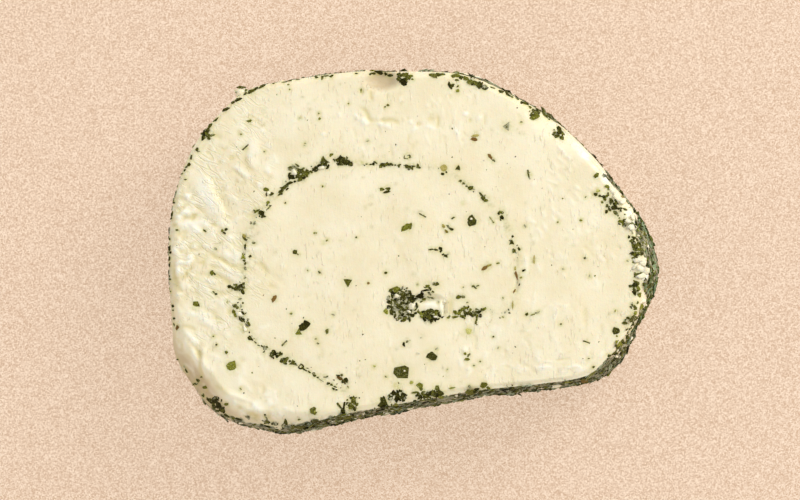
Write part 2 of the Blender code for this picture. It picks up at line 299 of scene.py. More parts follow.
# %% Knife marks
# each line is a mark: the pixels along it, its height and its widths to the left and to the right
# in millimetres, and how white it is, as smear and painted highlight, or how yellow below 0, as painted shade
KNIFE_MARKS = table("""
204 164 207 178 213 191 219 203 224 216 226 231 .42 .4 3.2 .25
209 176 216 190 222 202 227 216 230 228 -.1 1.4 .5 -.4
196 168 203 185 211 202 216 216 .05 .8 1.6 .7
229 163 237 169 245 176 253 181 .2 .7 .35 .9
229 166 238 173 247 180 250 183 -.14 .3 .35 -.6
250 128 251 140 249 150 248 158 251 165 258 170 264 175 .18 1.6 .35 .5
246 152 246 160 249 167 256 173 -.12 .35 .6 -.7
256 182 260 186 264 188 .16 .6 .6 .9
253 180 256 186 260 190 -.12 .3 .35 -.8
266 165 268 171 271 175 .14 .5 .5 .9
262 170 268 176 276 180 -.1 .35 .35 -.5
272 152 275 158 278 166 .1 .4 .4 .6
260 128 264 133 .1 .4 .4 .7
212 143 208 150 207 158 -.12 .5 .5 -.6
207 141 203 147 202 153 -.1 .5 .5 -.5
210 137 217 137 223 141 -.06 .5 .5 -.6
224 147 227 150 -.12 .35 .35 -.5
232 149 234 154 .12 .35 .4 .6
229 155 232 158 235 160 -.14 .35 .35 -1
238 128 239 133 241 136 -.12 .35 .35 -.9
218 160 221 165 -.1 .4 .35 -.7
223 159 225 164 .1 .35 .35 .6
236 178 237 183 -.1 .35 .35 -.6
239 178 241 183 .12 .35 .35 .7
224 186 223 193 -.14 .35 .35 -.6
227 185 228 190 .14 .35 .35 .7
176 184 175 192 176 202 -.2 .4 .6 -.7
183 186 182 194 180 203 -.14 .4 .4 -.7
179 186 179 196 .14 .4 .4 .7
180 206 188 205 196 207 203 211 210 218 -.16 .35 .35 -.9
182 210 188 212 192 211 .2 .6 .6 .9
181 213 184 217 190 218 195 215 200 212 -.16 .35 .35 -1
193 212 193 218 192 223 -.14 .5 .5 -1
176 206 179 211 177 217 -.14 .35 .35 -.7
172 214 174 222 176 228 -.12 .35 .5 -.6
181 221 187 222 193 226 199 229 .14 .6 .6 .8
196 221 204 223 210 228 .16 .6 .6 .9
178 222 178 232 180 240 -.12 .4 .4 -.8
184 226 184 236 186 244 -.1 .9 .9 -.7
190 233 198 235 204 238 -.1 .4 .4 -.5
213 222 215 228 -.08 .5 .5 -.8
173 245 175 250 178 254 .2 .7 .7 .9
186 242 191 247 190 253 188 259 -.18 .4 .5 -.9
179 249 187 251 196 250 205 254 -.16 .4 .4 -.8
194 255 196 260 199 265 -.12 .4 .4 -.5
190 243 201 247 212 253 222 259 233 264 -.12 .35 .4 -.6
203 253 214 257 226 263 236 270 244 276 -.14 .35 .4 -.7
206 257 216 261 227 267 238 274 .16 .4 .5 .8
204 262 212 266 222 269 231 276 -.16 .35 .4 -.9
208 268 216 275 226 280 238 284 -.16 .4 .5 -.8
213 264 222 271 232 277 241 281 .14 .4 .5 .7
222 252 232 257 241 264 .12 .5 .5 .5
222 248 231 252 240 259 -.1 .4 .4 -.5
197 263 203 262 206 260 -.12 .4 .4 -1
203 260 205 268 -.08 .35 .35 -.8
184 280 186 275 190 272 -.12 .35 .4 -.8
180 282 182 287 185 291 .16 .5 .5 .8
174 258 174 270 176 282 181 292 186 299 -.25 .7 .7 -.9
179 262 179 274 181 284 .16 .4 .5 .5
177 300 178 308 182 316 .12 .5 .5 .5
186 298 190 305 192 312 .1 .5 .5 .4
196 315 205 320 214 326 222 331 .2 .45 .9 .8
206 309 212 312 218 318 223 326 -.14 .5 .5 -.7
184 316 190 314 195 316 .1 .4 .4 .5
178 326 184 326 192 328 198 333 -.14 .4 .4 -.8
183 329 189 335 195 340 200 346 .2 .35 .4 .9
188 342 194 346 198 353 200 362 -.14 .35 .4 -.7
191 351 194 357 197 364 198 371 .12 .35 .35 .6
184 353 190 358 195 366 -.12 .35 .35 -.5
182 362 188 366 194 373 .1 .35 .35 .4
203 338 203 350 203 362 205 373 210 382 .35 .9 .4 .35
200 346 200 358 201 370 205 380 -.2 .35 .6 -1
210 382 222 390 238 397 255 404 .3 .6 .5 .4
212 384 222 389 232 395 -.14 .5 .6 -1
252 400 258 408 264 414 .2 .9 .9 .9
244 411 254 415 264 418 -.16 .6 .6 -.9
268 397 270 402 272 408 .14 .6 .6 .8
255 260 262 264 266 270 269 276 -.14 .35 .5 -.9
245 255 262 268 278 279 292 291 -.1 .4 .4 -.2
281 262 284 269 .1 .4 .4 .6
266 284 272 286 279 288 -.1 .35 .35 -.6
256 284 258 281 262 283 .1 .35 .35 .6
356 107 363 109 367 114 370 120 379 121 -.16 .5 .4 -1
374 121 383 121 391 120 398 123 402 127 -.14 .5 .4 -.9
360 117 365 122 368 126 .22 .5 .7 .95
373 124 382 124 390 127 395 130 .16 .4 .5 .85
354 112 357 118 359 121 .16 .35 .4 .9
360 87 361 91 362 96 -.12 .35 .35 -.8
370 88 371 96 373 103 -.14 .35 .4 -.9
387 92 388 100 -.08 .4 .4 -.6
416 122 419 124 421 126 -.1 .45 .45 -.8
425 119 432 119 436 121 -.08 .5 .5 -.6
437 113 438 122 437 130 -.12 .35 .35 -.8
410 119 411 125 .14 .35 .35 .8
412 127 416 131 .12 .5 .5 .8
423 126 430 127 436 131 .12 .4 .45 .8
465 111 466 117 .2 .5 .5 1
469 118 471 123 -.1 .35 .35 -.8
477 116 482 119 .12 .5 .5 .8
454 127 458 134 461 142 .12 .4 .4 .7
322 132 325 136 .15 .4 .4 .8
515 370 522 369 530 369 .1 .35 .5 .6
530 368 543 367 550 367 556 370 .12 .35 .5 .6
443.6 297 443.8 308 443.3 319 -.85 .35 .35 0
441.4 299 441.6 308 441.4 316 .3 .3 .35 .9
422 306 431 305.5 440 306 .14 1.2 1.2 1
446 297 450 300 450 310 449 318 -.12 .6 .6 -.9
517 277 517 285 516 290 514 295 -.6 .3 .3 0
525 250 526 265 525 281 .12 .5 .5 .7
551 252 552 258 -.2 .3 .3 0
572 140 581 150 590 162 .05 .8 .9 1
600 170 606 180 611 187 .08 .6 .6 .6
622 207 630 215 635 226 .1 1.2 1.2 .9
610 190 616 193 622 203 .3 .8 .8 .4
638 261 645 268 646 276 641 281 .12 1.2 1 .9
""")
# lumps and bites of the rim on the right: degrees, spread in degrees, reach in mm
RIM_LUMPS = (
    (-6.8, 1.6, .5), (1.5, 3, -1), (8, 2, .4), (-11, 1.6, -.4), (22, 2, .3), (36, 3, .3), (-24, 2, -.3),
    (-34, 1.6, .3),
)
# two scoops: pixel, half sizes, depth
SCOOPS = (
    ((382, 80), (3.4, 2.2), 1.5), ((426, 298.5), (3, 1), 1.2),
)
# strewn marks: middle and half sizes in pixels, how many, lean and its spread in degrees, length,
# rise, width to the left and to the right, all in millimetres
STREWN_MARKS = (
    ((206, 262), (38, 66), 110, -32, 16, (1.5, 6), (.05, .13), (.3, .5), (.35, .8)),
    ((236, 165), (48, 60), 50, -52, 20, (1, 4.5), (.04, .11), (.3, .5), (.35, .8)),
    ((226, 352), (38, 44), 50, -48, 20, (1, 4.5), (.04, .11), (.3, .5), (.35, .8)),
    ((182, 235), (12, 56), 90, -60, 50, (.6, 2.2), (.07, .18), (.3, .4), (.35, .5)),
    ((188, 350), (14, 26), 30, -58, 14, (1, 4), (.05, .12), (.3, .4), (.35, .5)),
    ((262, 400), (30, 16), 30, -84, 12, (.8, 3), (.05, .14), (.3, .4), (.35, .5)),
    ((575, 212), (48, 80), 120, -62, 14, (.8, 3.6), (.04, .12), (.15, .3), (.2, .5)),
    ((540, 335), (95, 50), 130, -88, 12, (.8, 4.5), (.04, .12), (.15, .3), (.2, .5)),
    ((400, 225), (130, 75), 90, -87, 12, (1, 5), (.02, .06), (.2, .4), (.2, .6)),
    ((395, 115), (140, 34), 80, -84, 12, (.8, 4), (.03, .1), (.15, .35), (.2, .5)),
    ((330, 350), (80, 55), 50, -80, 20, (.8, 4), (.03, .08), (.15, .35), (.2, .5)),
    ((540, 366), (46, 8), 16, 4, 8, (1, 4), (.05, .12), (.2, .3), (.2, .4)),
)
STREWN_SEED = 5
# how much a strewn mark bends at each step, in radians, and how much painted highlight, white, a rise gives
# it and painted shade, yellow, a hollow
STREWN_BEND = 0.22
STREWN_LIGHT_AND_SHADE = 4.0


def rim_lumps(angle):
    """How much further out the visible rim stands in a direction than the smooth one."""
    out = np.zeros(len(angle))
    for middle, spread, reach in RIM_LUMPS:
        out += reach * bell(degrees_off(angle, middle), spread)
    return out


def knife_relief(x, y):
    """Height of the marks over each place, and their tint: white for smears and painted highlight on ridges,
    yellow for painted shade in grooves.
    """
    height = np.zeros(len(x))
    tint = np.zeros(len(x))
    for *pixels, rise, left, right, white in KNIFE_MARKS:
        line = through_points([on_face(*p) for p in zip(pixels[::2], pixels[1::2])], 4, False)
        mask = stroke(x, y, line, left, right)
        height += rise * mask
        tint += white * mask
    for pixel, (wide, tall), depth in SCOOPS:
        spot = on_face(*pixel)
        far = np.hypot((x - spot[0]) / wide, (y - spot[1]) / tall)
        height -= depth * smooth_step(1.25 - far)
    rng = random.Random(STREWN_SEED)
    for middle, half, count, lean, spread, lengths, rises, lefts, rights in STREWN_MARKS:
        for _ in range(count):
            turn, away = rng.uniform(0.0, math.tau), math.sqrt(rng.random())
            start = on_face(
                middle[0] + half[0] * away * math.cos(turn),
                middle[1] + half[1] * away * math.sin(turn),
            )
            course = rng.gauss(math.radians(lean), math.radians(spread))
            length = rng.uniform(*lengths)
            points = [start]
            for _ in range(3):
                course += rng.gauss(0.0, STREWN_BEND)
                points.append(points[-1] + np.array((math.cos(course), math.sin(course))) * length / 3.0)
            rise = rng.choice((-1.0, 1.0, 1.0)) * rng.uniform(*rises)
            line = through_points(points, 2, False)
            mask = stroke(x, y, line, rng.uniform(*lefts), rng.uniform(*rights))
            height += rise * mask
            tint += rise * STREWN_LIGHT_AND_SHADE * mask
    return height, tint


print(len(KNIFE_MARKS), "knife marks placed and", sum(m[2] for m in STREWN_MARKS), "strewn")

# %% [markdown]
# ## Where every flake lies
#
# The large and the telling flakes are placed one by one, as pixel x and y, length and width in
# pixels, turn in degrees, tone from black at 0 to straw at 1, and how much cheese is smeared over
# it. The rest are strewn at random. A list this long is dull, but a herb seam is just that: its
# look is in which flakes clump, and where the line breaks.

# %% Flakes placed one by one
# the near-black rows at about pixel 410 to 420, 297 to 299 fill the core's hollow: painted shadow
CHIPS = table("""
280.3 192 4.6 4 0 .25 .1
418.2 166.2 5.2 4.2 -35 .3 .1
327.2 331 5 3.4 80 .35 .5
456.3 394.6 6.4 3.4 5 .2 .2
463.6 394.6 3.8 3.4 0 .2 .2
502 212.8 5.4 3.8 -30 .35 .5
514 250.6 5 4.2 70 .3 .3
404 344.5 3 5.4 10 .12 .05
407.5 341.5 3 2 40 .3 .6
296 169 5 9 60 .28 .5
291.5 168 4 8 -70 .3 .55
313.7 411 8.6 6.6 -50 .36 .05
314.6 411.6 2.6 2 0 .72 .2
402 372 16 12 -5 .27 .18
469 331.6 8 7 0 .93 0
598 190.6 4 3 0 .9 0
266 189.5 6 4 -20 .45 .1
267 194 5 2.5 80 .15 .2
271.5 194 4 3 20 .2 .1
268 202.5 4 3 60 .5 .1
257 211 8 3.2 35 .35 .1
261.5 213 6.5 4.5 -30 .15 .1
264 216.5 3 2 0 .2 .4
262 217 3 2 80 .2 .3
254 223 5 3 70 .3 .7
252 228.5 4 2.5 60 .3 .85
281.5 191 6 3.5 45 .2 .1
279 194.5 3.5 2 70 .3 .2
285 187 7 3.2 48 .25 .05
290 183 6.5 3 20 .15 .1
295 181.5 4 2 15 .15 .2
298 181 3 2 -60 .2 .5
291.5 177 7 4 -10 .08 .05
289.5 174 4 2.5 60 .15 .2
293 166.5 5 2.6 70 .3 .6
297.5 165.5 6 2.4 -35 .3 .5
299 176.5 5 4.5 30 .2 .1
302 171 7 6 20 .28 .1
305 174.5 8 6 -20 .38 .05
303.5 178 6 3 5 .1 .1
308 172.5 5 4 40 .3 .1
311.5 172 5 2.5 -30 .3 .2
315 168.5 7 3 42 .15 .05
316 171 3.5 2 20 .15 .3
319.5 165.5 6 3 30 .12 .05
325 164.5 6 3 -15 .1 .05
328 167 4 2.5 60 .08 .05
326.5 168.5 2.5 1.5 60 .1 .1
331.5 154.5 4 2.5 0 .5 .2
330.5 156 2.5 2 80 .5 .2
338 160 5 5 0 .2 .1
342 158.5 7 4.5 10 .25 .05
344.5 162 7 5 -20 .15 .05
340 164 5 3 -20 .25 .3
348 161.5 5 4 -40 .2 .05
349.5 164 4 2.5 -20 .15 .1
371 164.5 4 2 10 .25 .2
373.2 164 2.8 2.5 0 .02 0
375.5 162.5 4 1.6 -30 .25 .2
366.5 164.2 3 1.5 0 .35 .4
383.5 165 5 4 -30 .22 .1
387 164 4 3 30 .2 .2
390 164.5 4 2.5 20 .2 .1
392.5 165 2 1.5 0 .2 .2
399 165 3.5 1.8 20 .25 .3
406.5 166 3.5 3 70 .15 .1
409.5 166.5 4 4 30 .3 .3
413.5 166 5 1.8 5 .2 .1
419.5 167.5 3.5 2 -50 .2 .1
443 174 5 2.6 0 .15 .05
446.5 172 3 2 -30 .2 .1
460.5 181 4 2.5 10 .3 .2
464 183.5 4 1.8 -20 .3 .4
466.5 185.5 5 3 -30 .35 .6
470.5 188 6 4.2 5 .3 .05
474 189.5 3 1.5 -30 .35 .6
481 194.5 6 2.2 -50 .2 .1
483.5 198.5 5 4 -50 .3 .2
485 200.5 3.5 2.5 10 .3 .2
499 213 4.5 3.5 80 .15 .1
502 217.5 5 3.5 -40 .1 .05
504.8 224 3 2.4 0 .3 .75
519 249 4 2.4 -60 .2 .3
523.5 270.5 4.2 1.8 25 .12 .1
521 277.5 3 1.6 15 .55 .3
526.8 314.3 3.5 3 20 .28 .1
533 314.5 4 1.6 15 .5 .4
536 313 3 1.4 10 .3 .4
538.5 312 3.5 2 45 .3 .6
530 320 3 2 80 .35 .8
244.5 238.5 5 2.8 -50 .32 .35
246.5 240 3 2 60 .2 .4
245.2 245.5 7 2.4 85 .18 .15
248.5 237.5 4 1.5 15 .3 .7
253.8 243 4.5 2.5 -25 .3 .55
250.2 256.3 3.2 2.4 20 .2 .3
246.5 252 8 2.5 100 .35 .85
245.3 263.5 2.8 2 70 .25 .3
245.3 268.5 4 2.2 -70 .3 .5
229.5 286.5 4 3 0 .15 .1
232.5 287.5 5 3.4 -10 .25 .1
237 288.5 6 4.2 10 .22 .1
240.5 286.5 6 4 20 .15 .1
243.5 284 4 3 70 .3 .3
242.5 291.5 8 4 -70 .25 .35
240.3 299 3.5 2 10 .3 .5
235.3 306 5 4 -20 .3 .4
237.5 307.5 3.5 2.5 60 .42 .1
241 306.5 5 2.4 85 .3 .6
233.5 311.5 4 3.5 0 .4 .1
235 315 6 3 -70 .55 .05
241.7 318.5 4 1.6 -60 .15 .2
244 321 3.5 1.5 -50 .15 .3
250 338.2 5.5 4 -35 .25 .05
252.5 340 3 1.6 -40 .1 .1
255.5 342.5 4 1.4 -35 .3 .5
258.7 345.5 4 1.8 -5 .25 .35
264.5 347.5 5 3.4 -60 .3 .5
264 351.5 3.5 1.6 60 .2 .3
272.5 354 5 4 -20 .2 .1
277 356.3 4 3 30 .08 .05
284.5 360.5 6.5 5.5 -10 .35 .05
305 370 5 1.5 -30 .2 .3
309.5 372 4 2 -20 .25 .3
314.5 375.5 4.5 2.8 -35 .22 .2
318 377.5 3.5 2 10 .25 .3
324.5 377 5 1.5 -15 .3 .6
328.5 383.5 4.5 3.5 20 .2 .3
331.5 385 4 2.2 -25 .3 .4
333.5 388.8 4 2.2 -30 .15 .1
336.5 389.8 2 1.6 0 .02 0
334.5 386.5 5 1.4 -25 .3 .5
340.5 378.5 6.5 3 -25 .15 .05 .3
344.5 382 6 2.4 -55 .2 .1 .2
348 387 3.5 1.6 -60 .3 .5
351 406.5 6 5 0 .4 .05
354.5 409 6 5 -60 .25 .05
357 404.5 4 2.5 60 .35 .2
343 411.5 5 3.5 -30 .2 .2
340.5 418 8 3.6 12 .25 .05
325.5 420.8 8 4 5 .15 .05
381.5 399 4 3 80 .2 .05
400 391 4 4 0 .12 .05
398 396 6 5 30 .15 .05
403.5 395 6 5 -30 .12 .05
411.5 382.5 3.5 3 20 .7 .1
419 386 7 5.5 10 .5 .4
421 389 5 4 -40 .4 .4
415 392.5 7 1.8 5 .35 .2
423 392 4 2 10 .35 .2
418 395.5 6 3 -5 .15 .1
427 395.5 7 4 5 .15 .1
433 394 5 3.5 30 .25 .2
436.5 388.5 7 6 80 .38 .05
441.5 393.5 6 4.5 -50 .3 .3
452 388 6 1.6 12 .6 .1
469.5 386.3 3 2 -45 .3 .6
476 390.5 6 4 40 .12 .1
480 392 5 3 -20 .2 .1
484 385 6.5 5.5 30 .38 .05
488.5 388 5 2.6 -30 .35 .1
482.5 394.5 6 3 -10 .3 .4
514.5 389 7 3.6 12 .15 .05
520.5 387 8 4.5 15 .25 .05
541.5 385.5 5 3.4 30 .4 .5
549.5 388 5.5 4 -20 .15 .05
555 386 6 3 10 .3 .2
563 383.5 7 3.4 10 .2 .1
572 382 6 2.6 10 .2 .1
578 381.5 7 3 0 .15 .1
397 289.5 8 5.6 0 .5 .05
391 290.5 4.5 3.5 50 .3 .1
392 296 7 2.2 -75 .15 .2
402.5 293.5 6 5 -50 .3 .2
403.5 297.5 7 4.5 70 .2 .15
396 303.5 7 4 70 .25 .45
391.5 303 6 2 85 .3 .5
402 303 6 4 10 .3 .5
407.5 303.5 5 2.4 20 .1 .1
404.5 308.5 8 5 -20 .3 .5
401 311.5 6 5 30 .25 .35
406.5 313.5 7 4.5 -15 .3 .4
391.5 312.5 10 4.6 -80 .22 .05
386 311.5 5.5 4 -60 .62 .05
397.5 313 8 2.6 70 .4 .75
394.5 307.5 6 3 60 .25 .4
409.5 319 5 2.6 -80 .2 .3
412.5 315.5 6 3.6 -30 .15 .1
415 313.5 4 2 30 .1 .05
410 298.5 7 2.6 -20 .08 0
414.5 299 7 3.2 10 .02 0
419.5 296.7 6 2.6 20 .04 0
417 305.5 6 2 -80 .1 .05
415.5 309.5 5 1.6 50 .2 .1
426 290.3 8 2 8 .05 0
430 288.3 5 3 -30 .25 .2
427.5 286 5 3 30 .35 .4
432.5 291.8 3.5 2 -20 .3 .4
429.5 293.8 4 1.8 -40 .3 .5
423.5 299.5 5 4.2 50 .42 .1
421.5 301.5 3 1.6 30 .3 .3
429 297.5 4 1.6 -40 .35 .5
432.3 298 3 1.8 -20 .3 .5
437.2 284 4.8 4 50 .3 .3
422 314 7 4.6 -10 .55 .2
418.5 312 3.5 2.4 -60 .4 .1
430.5 311.5 6 5 20 .2 .05
436 313 8 3.6 -35 .35 .05
427.5 318 6 3 -10 .05 0
436 319 7 2.2 -8 .04 0
439.5 315.5 5 2.4 -50 .1 .05
442.5 317.4 4 1.6 15 .02 0
448.5 317.8 4.5 2.2 0 .5 .3
455 317 6 2.2 8 .4 .2
459.5 312.5 5.5 3.4 60 .5 .1
462.5 309.3 4.5 3.4 30 .45 .05
465.5 312.5 6.5 4 -20 .25 .05
463.5 316.5 6 3 15 .08 .05
469.5 312.5 5 4 10 .28 .1
474.5 314 5.5 4 -10 .2 .35
478.5 312.3 5 3 25 .15 .15
484 309.3 6.5 3.2 25 .5 .05
458.3 297.3 4.4 3.6 10 .35 .1
462.5 296.8 6 3 0 .35 .5
475 287.5 5 1.8 -45 .25 .2
473.2 286 4 1.8 30 .4 .3
477.8 285.7 3 1.4 20 .35 .4
438.5 302 3.2 2 -30 .3 .6
431 249.5 5 1.5 5 .25 .2
436 249.8 5 2 -5 .2 .1
440.5 248.5 4 3 -30 .1 .05
441 251 3 2.5 60 .15 .1
443 254.5 4 2 40 .2 .3
446 256 4 3 -30 .15 .3
447.5 254.5 3 1.5 20 .3 .5
406 227.5 10 6 32 .48 .03
410.5 226 6 3 80 .4 .3
382 189.3 4.5 3 -5 .4 .1
388 188.5 5 4.5 40 .28 .05
386.5 192 6 2.2 10 .15 .1
420 213 6 4 -40 .3 .75
471 218.5 8 6 -35 .25 .05
474 222 7 5 -80 .2 .05
470 222.5 7 5 -50 .22 .05
446.5 231.5 5 2.6 -50 .5 .1 .3
448.5 227 5 2.4 -50 .3 .5
451.5 229.3 5 3 -20 .2 .3
453 218 4 1.6 30 .3 .5
431.5 356 11 8 -35 .22 .12
436.5 348.8 3 1.4 30 .35 .5
465 353.5 3 2.5 -60 .5 .1
468.7 355 4 2 55 .3 .3
467 359.3 4.5 3 0 .42 .1
474 365.5 2.4 1.4 -10 .35 .5
480 361.5 2 1.4 0 .35 .5
447.5 369.5 2 1.6 0 .25 .5
443 368 4 1 -30 .35 .8
493.3 336.7 1.6 1.6 0 .25 .2
498 348 3.5 1 65 .35 .7
498 263.3 3.2 1.5 10 .5 .2
520.5 133 4 2 80 .35 .85
521.3 122 2.2 1.4 0 .5 .1
525 226 3.4 1.6 -50 .35 .6
493.5 222.3 1.6 1.5 0 .4 .3
557.8 222.2 2.2 2 0 .55 .3
581 220.3 3.6 2 0 .6 .45
585.5 197.2 2 1.6 30 .4 .4
584.8 258 3 2 70 .25 .35
589.5 276 3.6 2 -50 .35 .6
563 269 2 1.4 0 .35 .5
567 239 3 2 0 .4 .9
573.5 245.5 2.6 2 0 .4 .9
593.5 367 2.6 2.2 0 .25 .3
589 358.5 2.6 1.2 0 .3 .4
561 324 2 1.6 0 .35 .3
503 317 2 1.6 0 .35 .4
503 298 1.6 1.2 0 .4 .6
615.3 310.8 2.8 1.6 80 .55 .1
609 314 3 2 0 .4 .9
615.5 331 8 6.4 5 .25 .03
617 336 2.4 1.8 -20 .5 .1
624.5 323 4.5 3 -10 .28 .1
625.5 320 3 1.8 10 .3 .2
618.5 343.5 6 6 0 .58 .02
622.5 341 5 4 40 .3 .05
559 128.3 5 4 -20 .2 .05
558.5 132.5 6 4 -80 .28 .05
557 136 5 3.4 20 .25 .05
562 138 4.5 4 -30 .32 .05
535 116.5 9 6.5 20 .45 .03
537 112 6 4 0 .3 .1
533.5 110.5 4 3 -60 .28 .05
525 103.5 8 2.6 -25 .28 .1
529.5 107 5 3 -50 .35 .4
522 102.5 4 3 0 .2 .1
545 115 9 2.6 -42 .3 .25
549 118.8 3.4 3 -40 .35 .5
508 94.2 9 2.8 -30 .2 .1
501 91.5 6 3 -20 .25 .2
512 97 4 2.4 -40 .35 .5
517.5 98.8 5 1.4 -40 .3 .3
493 88 8 1.4 -18 .35 .4
475 83 8 5 -20 .35 .2
480 85.5 8 4.5 -20 .2 .1
484 89 5 3 -15 .25 .1
486 86.5 5 1.6 15 .4 .4
470 82 6 4.5 -10 .4 .2
596.5 175.5 7 4 60 .45 .03
596 194.5 5.5 4 10 .22 .05
600.5 196 5 3 -10 .15 .05
603.8 196.8 4 3.2 -30 .18 .05
598 191 3.4 3 20 .7 .3
602.3 202 3.4 2.6 80 .4 .3
607 186.5 4 3.4 -20 .45 .1
608.5 189 3 2 -60 .4 .3
608 194 6 2.6 -72 .22 .05
611.5 200.5 6 3 -55 .2 .05
614 204 6 4 -50 .15 .03
614.5 207.5 6.5 4 0 .12 .03
619.5 208.5 6 2.2 5 .12 .05
625 209.5 5 2.2 -30 .2 .1
607.5 206 5 2.4 -75 .3 .3
609.5 209.5 4 2.4 -50 .25 .2
606.5 211.5 3.8 2.8 70 .22 .1
615 212.5 5 3 -30 .3 .2
617.5 215 4 2 -50 .35 .5
625 214.3 2.2 1.8 60 .15 .1
622 197.5 5 4 -10 .5 .35 .4
619.5 218 2.4 1.6 70 .3 .3
620.5 221.5 4.5 3.2 -10 .45 .1
624.5 220.5 4 3 30 .3 .3
623 224.5 6 4 -70 .5 .05
627 224 4 1.8 10 .4 .4
630.5 222.2 3 1.6 0 .35 .3
629 237 3.4 2.4 70 .08 .05
632 232 4 1.4 -60 .3 .5
631.5 228.5 2 1.4 0 .4 .5
634 237.5 5 3.6 10 .2 .25
632.2 242.5 7 2.2 -78 .22 .3
636.5 240 4 3 -30 .2 .2
638 245 6 5 20 .35 .05
636 249 5 5 0 .5 .05
640.5 247.5 5 4 -30 .28 .05
637 254 5 4 10 .4 .2
641.5 253.5 5 4 0 .2 .05
643.5 250.5 3 2.2 0 .9 0
634 262 4.5 2.6 20 .42 .1
627.5 261.3 3.4 1.6 -45 .35 .6
638 274.5 7 3.4 10 .3 .45
641 273 3 2 60 .3 .4
635.5 276.5 4 2.4 20 .35 .6
637 284.5 5 4 60 .35 .1
634 287.5 4 3.4 0 .45 .2
638.5 288.5 5 3 -70 .5 .2
634.5 292.5 5.5 3.6 -70 .15 .05
640 295 5.5 4 80 .52 .1
638 302.5 4 2.4 80 .3 .05
640.5 306.5 6 5.5 20 .55 .02
632.5 304.5 5.5 2.8 -60 .3 .5
635.5 313 6 4.6 10 .58 .03
641.5 313.5 5 3.4 80 .2 .1
634 319 8 4.4 30 .3 .35
632 324 7 4 70 .2 .2
609 355.5 4 2.8 0 .2 .2
613 353.5 5 2.6 30 .3 .4
226 109.5 7 3.4 20 .2 .05
238.5 99.5 7 3 22 .18 .05
233 102.5 4 2.4 20 .25 .1
216 119.5 8 2.8 48 .25 .15
210 126 5 3 50 .3 .2
205.5 132.5 7 5.5 50 .12 .03
203 138 7 3 75 .15 .05
208 135.5 5 4 -10 .25 .1
213 135 5 2.4 20 .35 .4
210.5 139 6 3.6 60 .5 .8
197 149.5 4 3 60 .25 .1
198.5 151.5 3 1.6 0 .35 .4
191.2 157.5 5 2 75 .22 .2
189 164.5 4 3 40 .22 .1
186.5 167 3.5 1.8 50 .25 .2
184.5 170.5 3 1.6 55 .2 .1
182 173.8 3 1.4 30 .25 .2
180 177 2 1.5 0 .2 .1
185.5 179.4 3.4 1.4 15 .15 .1
176.5 185.5 4 1.8 55 .35 .4
174 202.8 3.4 2.2 0 .2 .15
172 214.5 5 1.8 75 .2 .1
171 218.5 3 1.4 60 .2 .1
177 230 3 1.6 0 .3 .1
204.5 230.5 6 1.8 -45 .3 .35
222.5 230.5 3.4 3 60 .45 .1
226 229.5 3 2.4 20 .15 .1
224.5 233 3.4 2 -30 .12 .05
169.5 239 3.6 2 -60 .3 .2
169.8 248.5 5 3 75 .15 .1
170.5 252.5 3.4 2.6 0 .1 .05
170 258.5 5 3.6 60 .2 .2
169.7 264.5 6 2 80 .15 .1
169 279.5 2 1.5 0 .2 .1
169 291.5 2 1.3 0 .2 .2
170.5 306.5 3 2.4 60 .15 .1
171 310.5 2.4 1.6 0 .3 .3
170 319 2.6 2 0 .2 .1
215.8 249 3.4 2 -50 .35 .6
212 273 4.5 3.6 75 .42 .1
214.5 274 4 2.2 -60 .2 .3
213.5 292 3 1.3 -50 .25 .2
216 294 3.4 2 0 .15 .1
227.3 301.5 4.5 1.6 80 .4 .7
196 305 8.5 6 -75 .45 .02
199 305.5 5 2 -60 .15 .2
213.5 336.3 2.2 1.6 80 .35 .05
216.5 344.8 2.2 2 0 .15 .05
177.3 327.5 5.4 3.4 65 .2 .05 .5
174 324.5 4 1.5 -60 .35 .5
226.3 352.5 3.4 3 30 .35 .05
231.5 366.3 10.5 10 20 .55 0
205.2 387.3 4.6 3.4 0 .45 .1
201.5 377 2 1.6 0 .3 .1
240.8 388.8 2.6 1.2 -45 .35 .5
246 397.5 3 2 0 .4 .9
226.5 404.3 5 3.2 5 .45 .03
215 401 7 5 20 .12 .05
218.5 405 9 6 -55 .1 .05
221.5 410 8 5 -40 .18 .15
213 403 4 3 0 .2 .3
209 400.5 7 2 -48 .15 .1
203.5 395.5 5 3.2 30 .3 .4
198 380.5 4.5 3 -30 .25 .3
196 383.5 5 3 20 .3 .5
193.5 384.5 3 1.6 -45 .25 .3
186.5 371 7 2.6 -60 .25 .4
184.5 366.5 4 2 -45 .3 .6
177.5 359.5 2.4 1.4 0 .25 .2
238.5 419 8 2 -18 .12 .1
227.5 416 9 3 -32 .2 .3
223 416 6 3 -35 .12 .1
286 422 7 4.6 -50 .25 .03
283 428 2.4 2.2 0 .08 0
284 425.5 5 1.6 0 .2 .3
299 419.5 3 1.4 0 .35 .5
268 426.5 8 2.2 -20 .1 .1
275 430 9 2.4 -12 .1 .1
262 424.5 5 1.4 -15 .15 .2
287 432 9 2 8 .08 .05
295 427 8 1.6 10 .25 .3
305 425 9 2.6 20 .15 .2
316 421.5 9 2.2 10 .2 .3
378 72.5 9 3.4 -10 .15 .1
374 73.5 4 3 0 .25 .2
370.5 74 4 2 30 .25 .2
386 74.5 5 3.4 -50 .15 .05
390 75.5 5 2.6 0 .2 .1
383.5 71.5 5 1.4 0 .3 .3
399 74 4.5 3 20 .2 .05
399 77.5 3 2.4 0 .15 .1
404.5 75.5 7 5 -10 .38 .05
408 77.5 6 4 20 .32 .1
403.5 82 8 7 -80 .1 .02
411 76 4 2.4 0 .45 .2
412.5 79.2 2.8 2.4 0 .35 .1
433 75 8 4.4 -20 .35 .3
438.5 74.8 7 3.6 0 .28 .1
443 74.3 5 2 0 .3 .1
449.5 84.5 7 3 -65 .15 .05
451 86 6 3.6 10 .2 .05
451.3 88.4 2.4 1.8 0 .1 .05
453.3 84.6 2.6 1.6 0 .2 .1
457.8 86.3 3.4 1.6 30 .3 .3
457.8 90.8 4 3.6 20 .6 .03
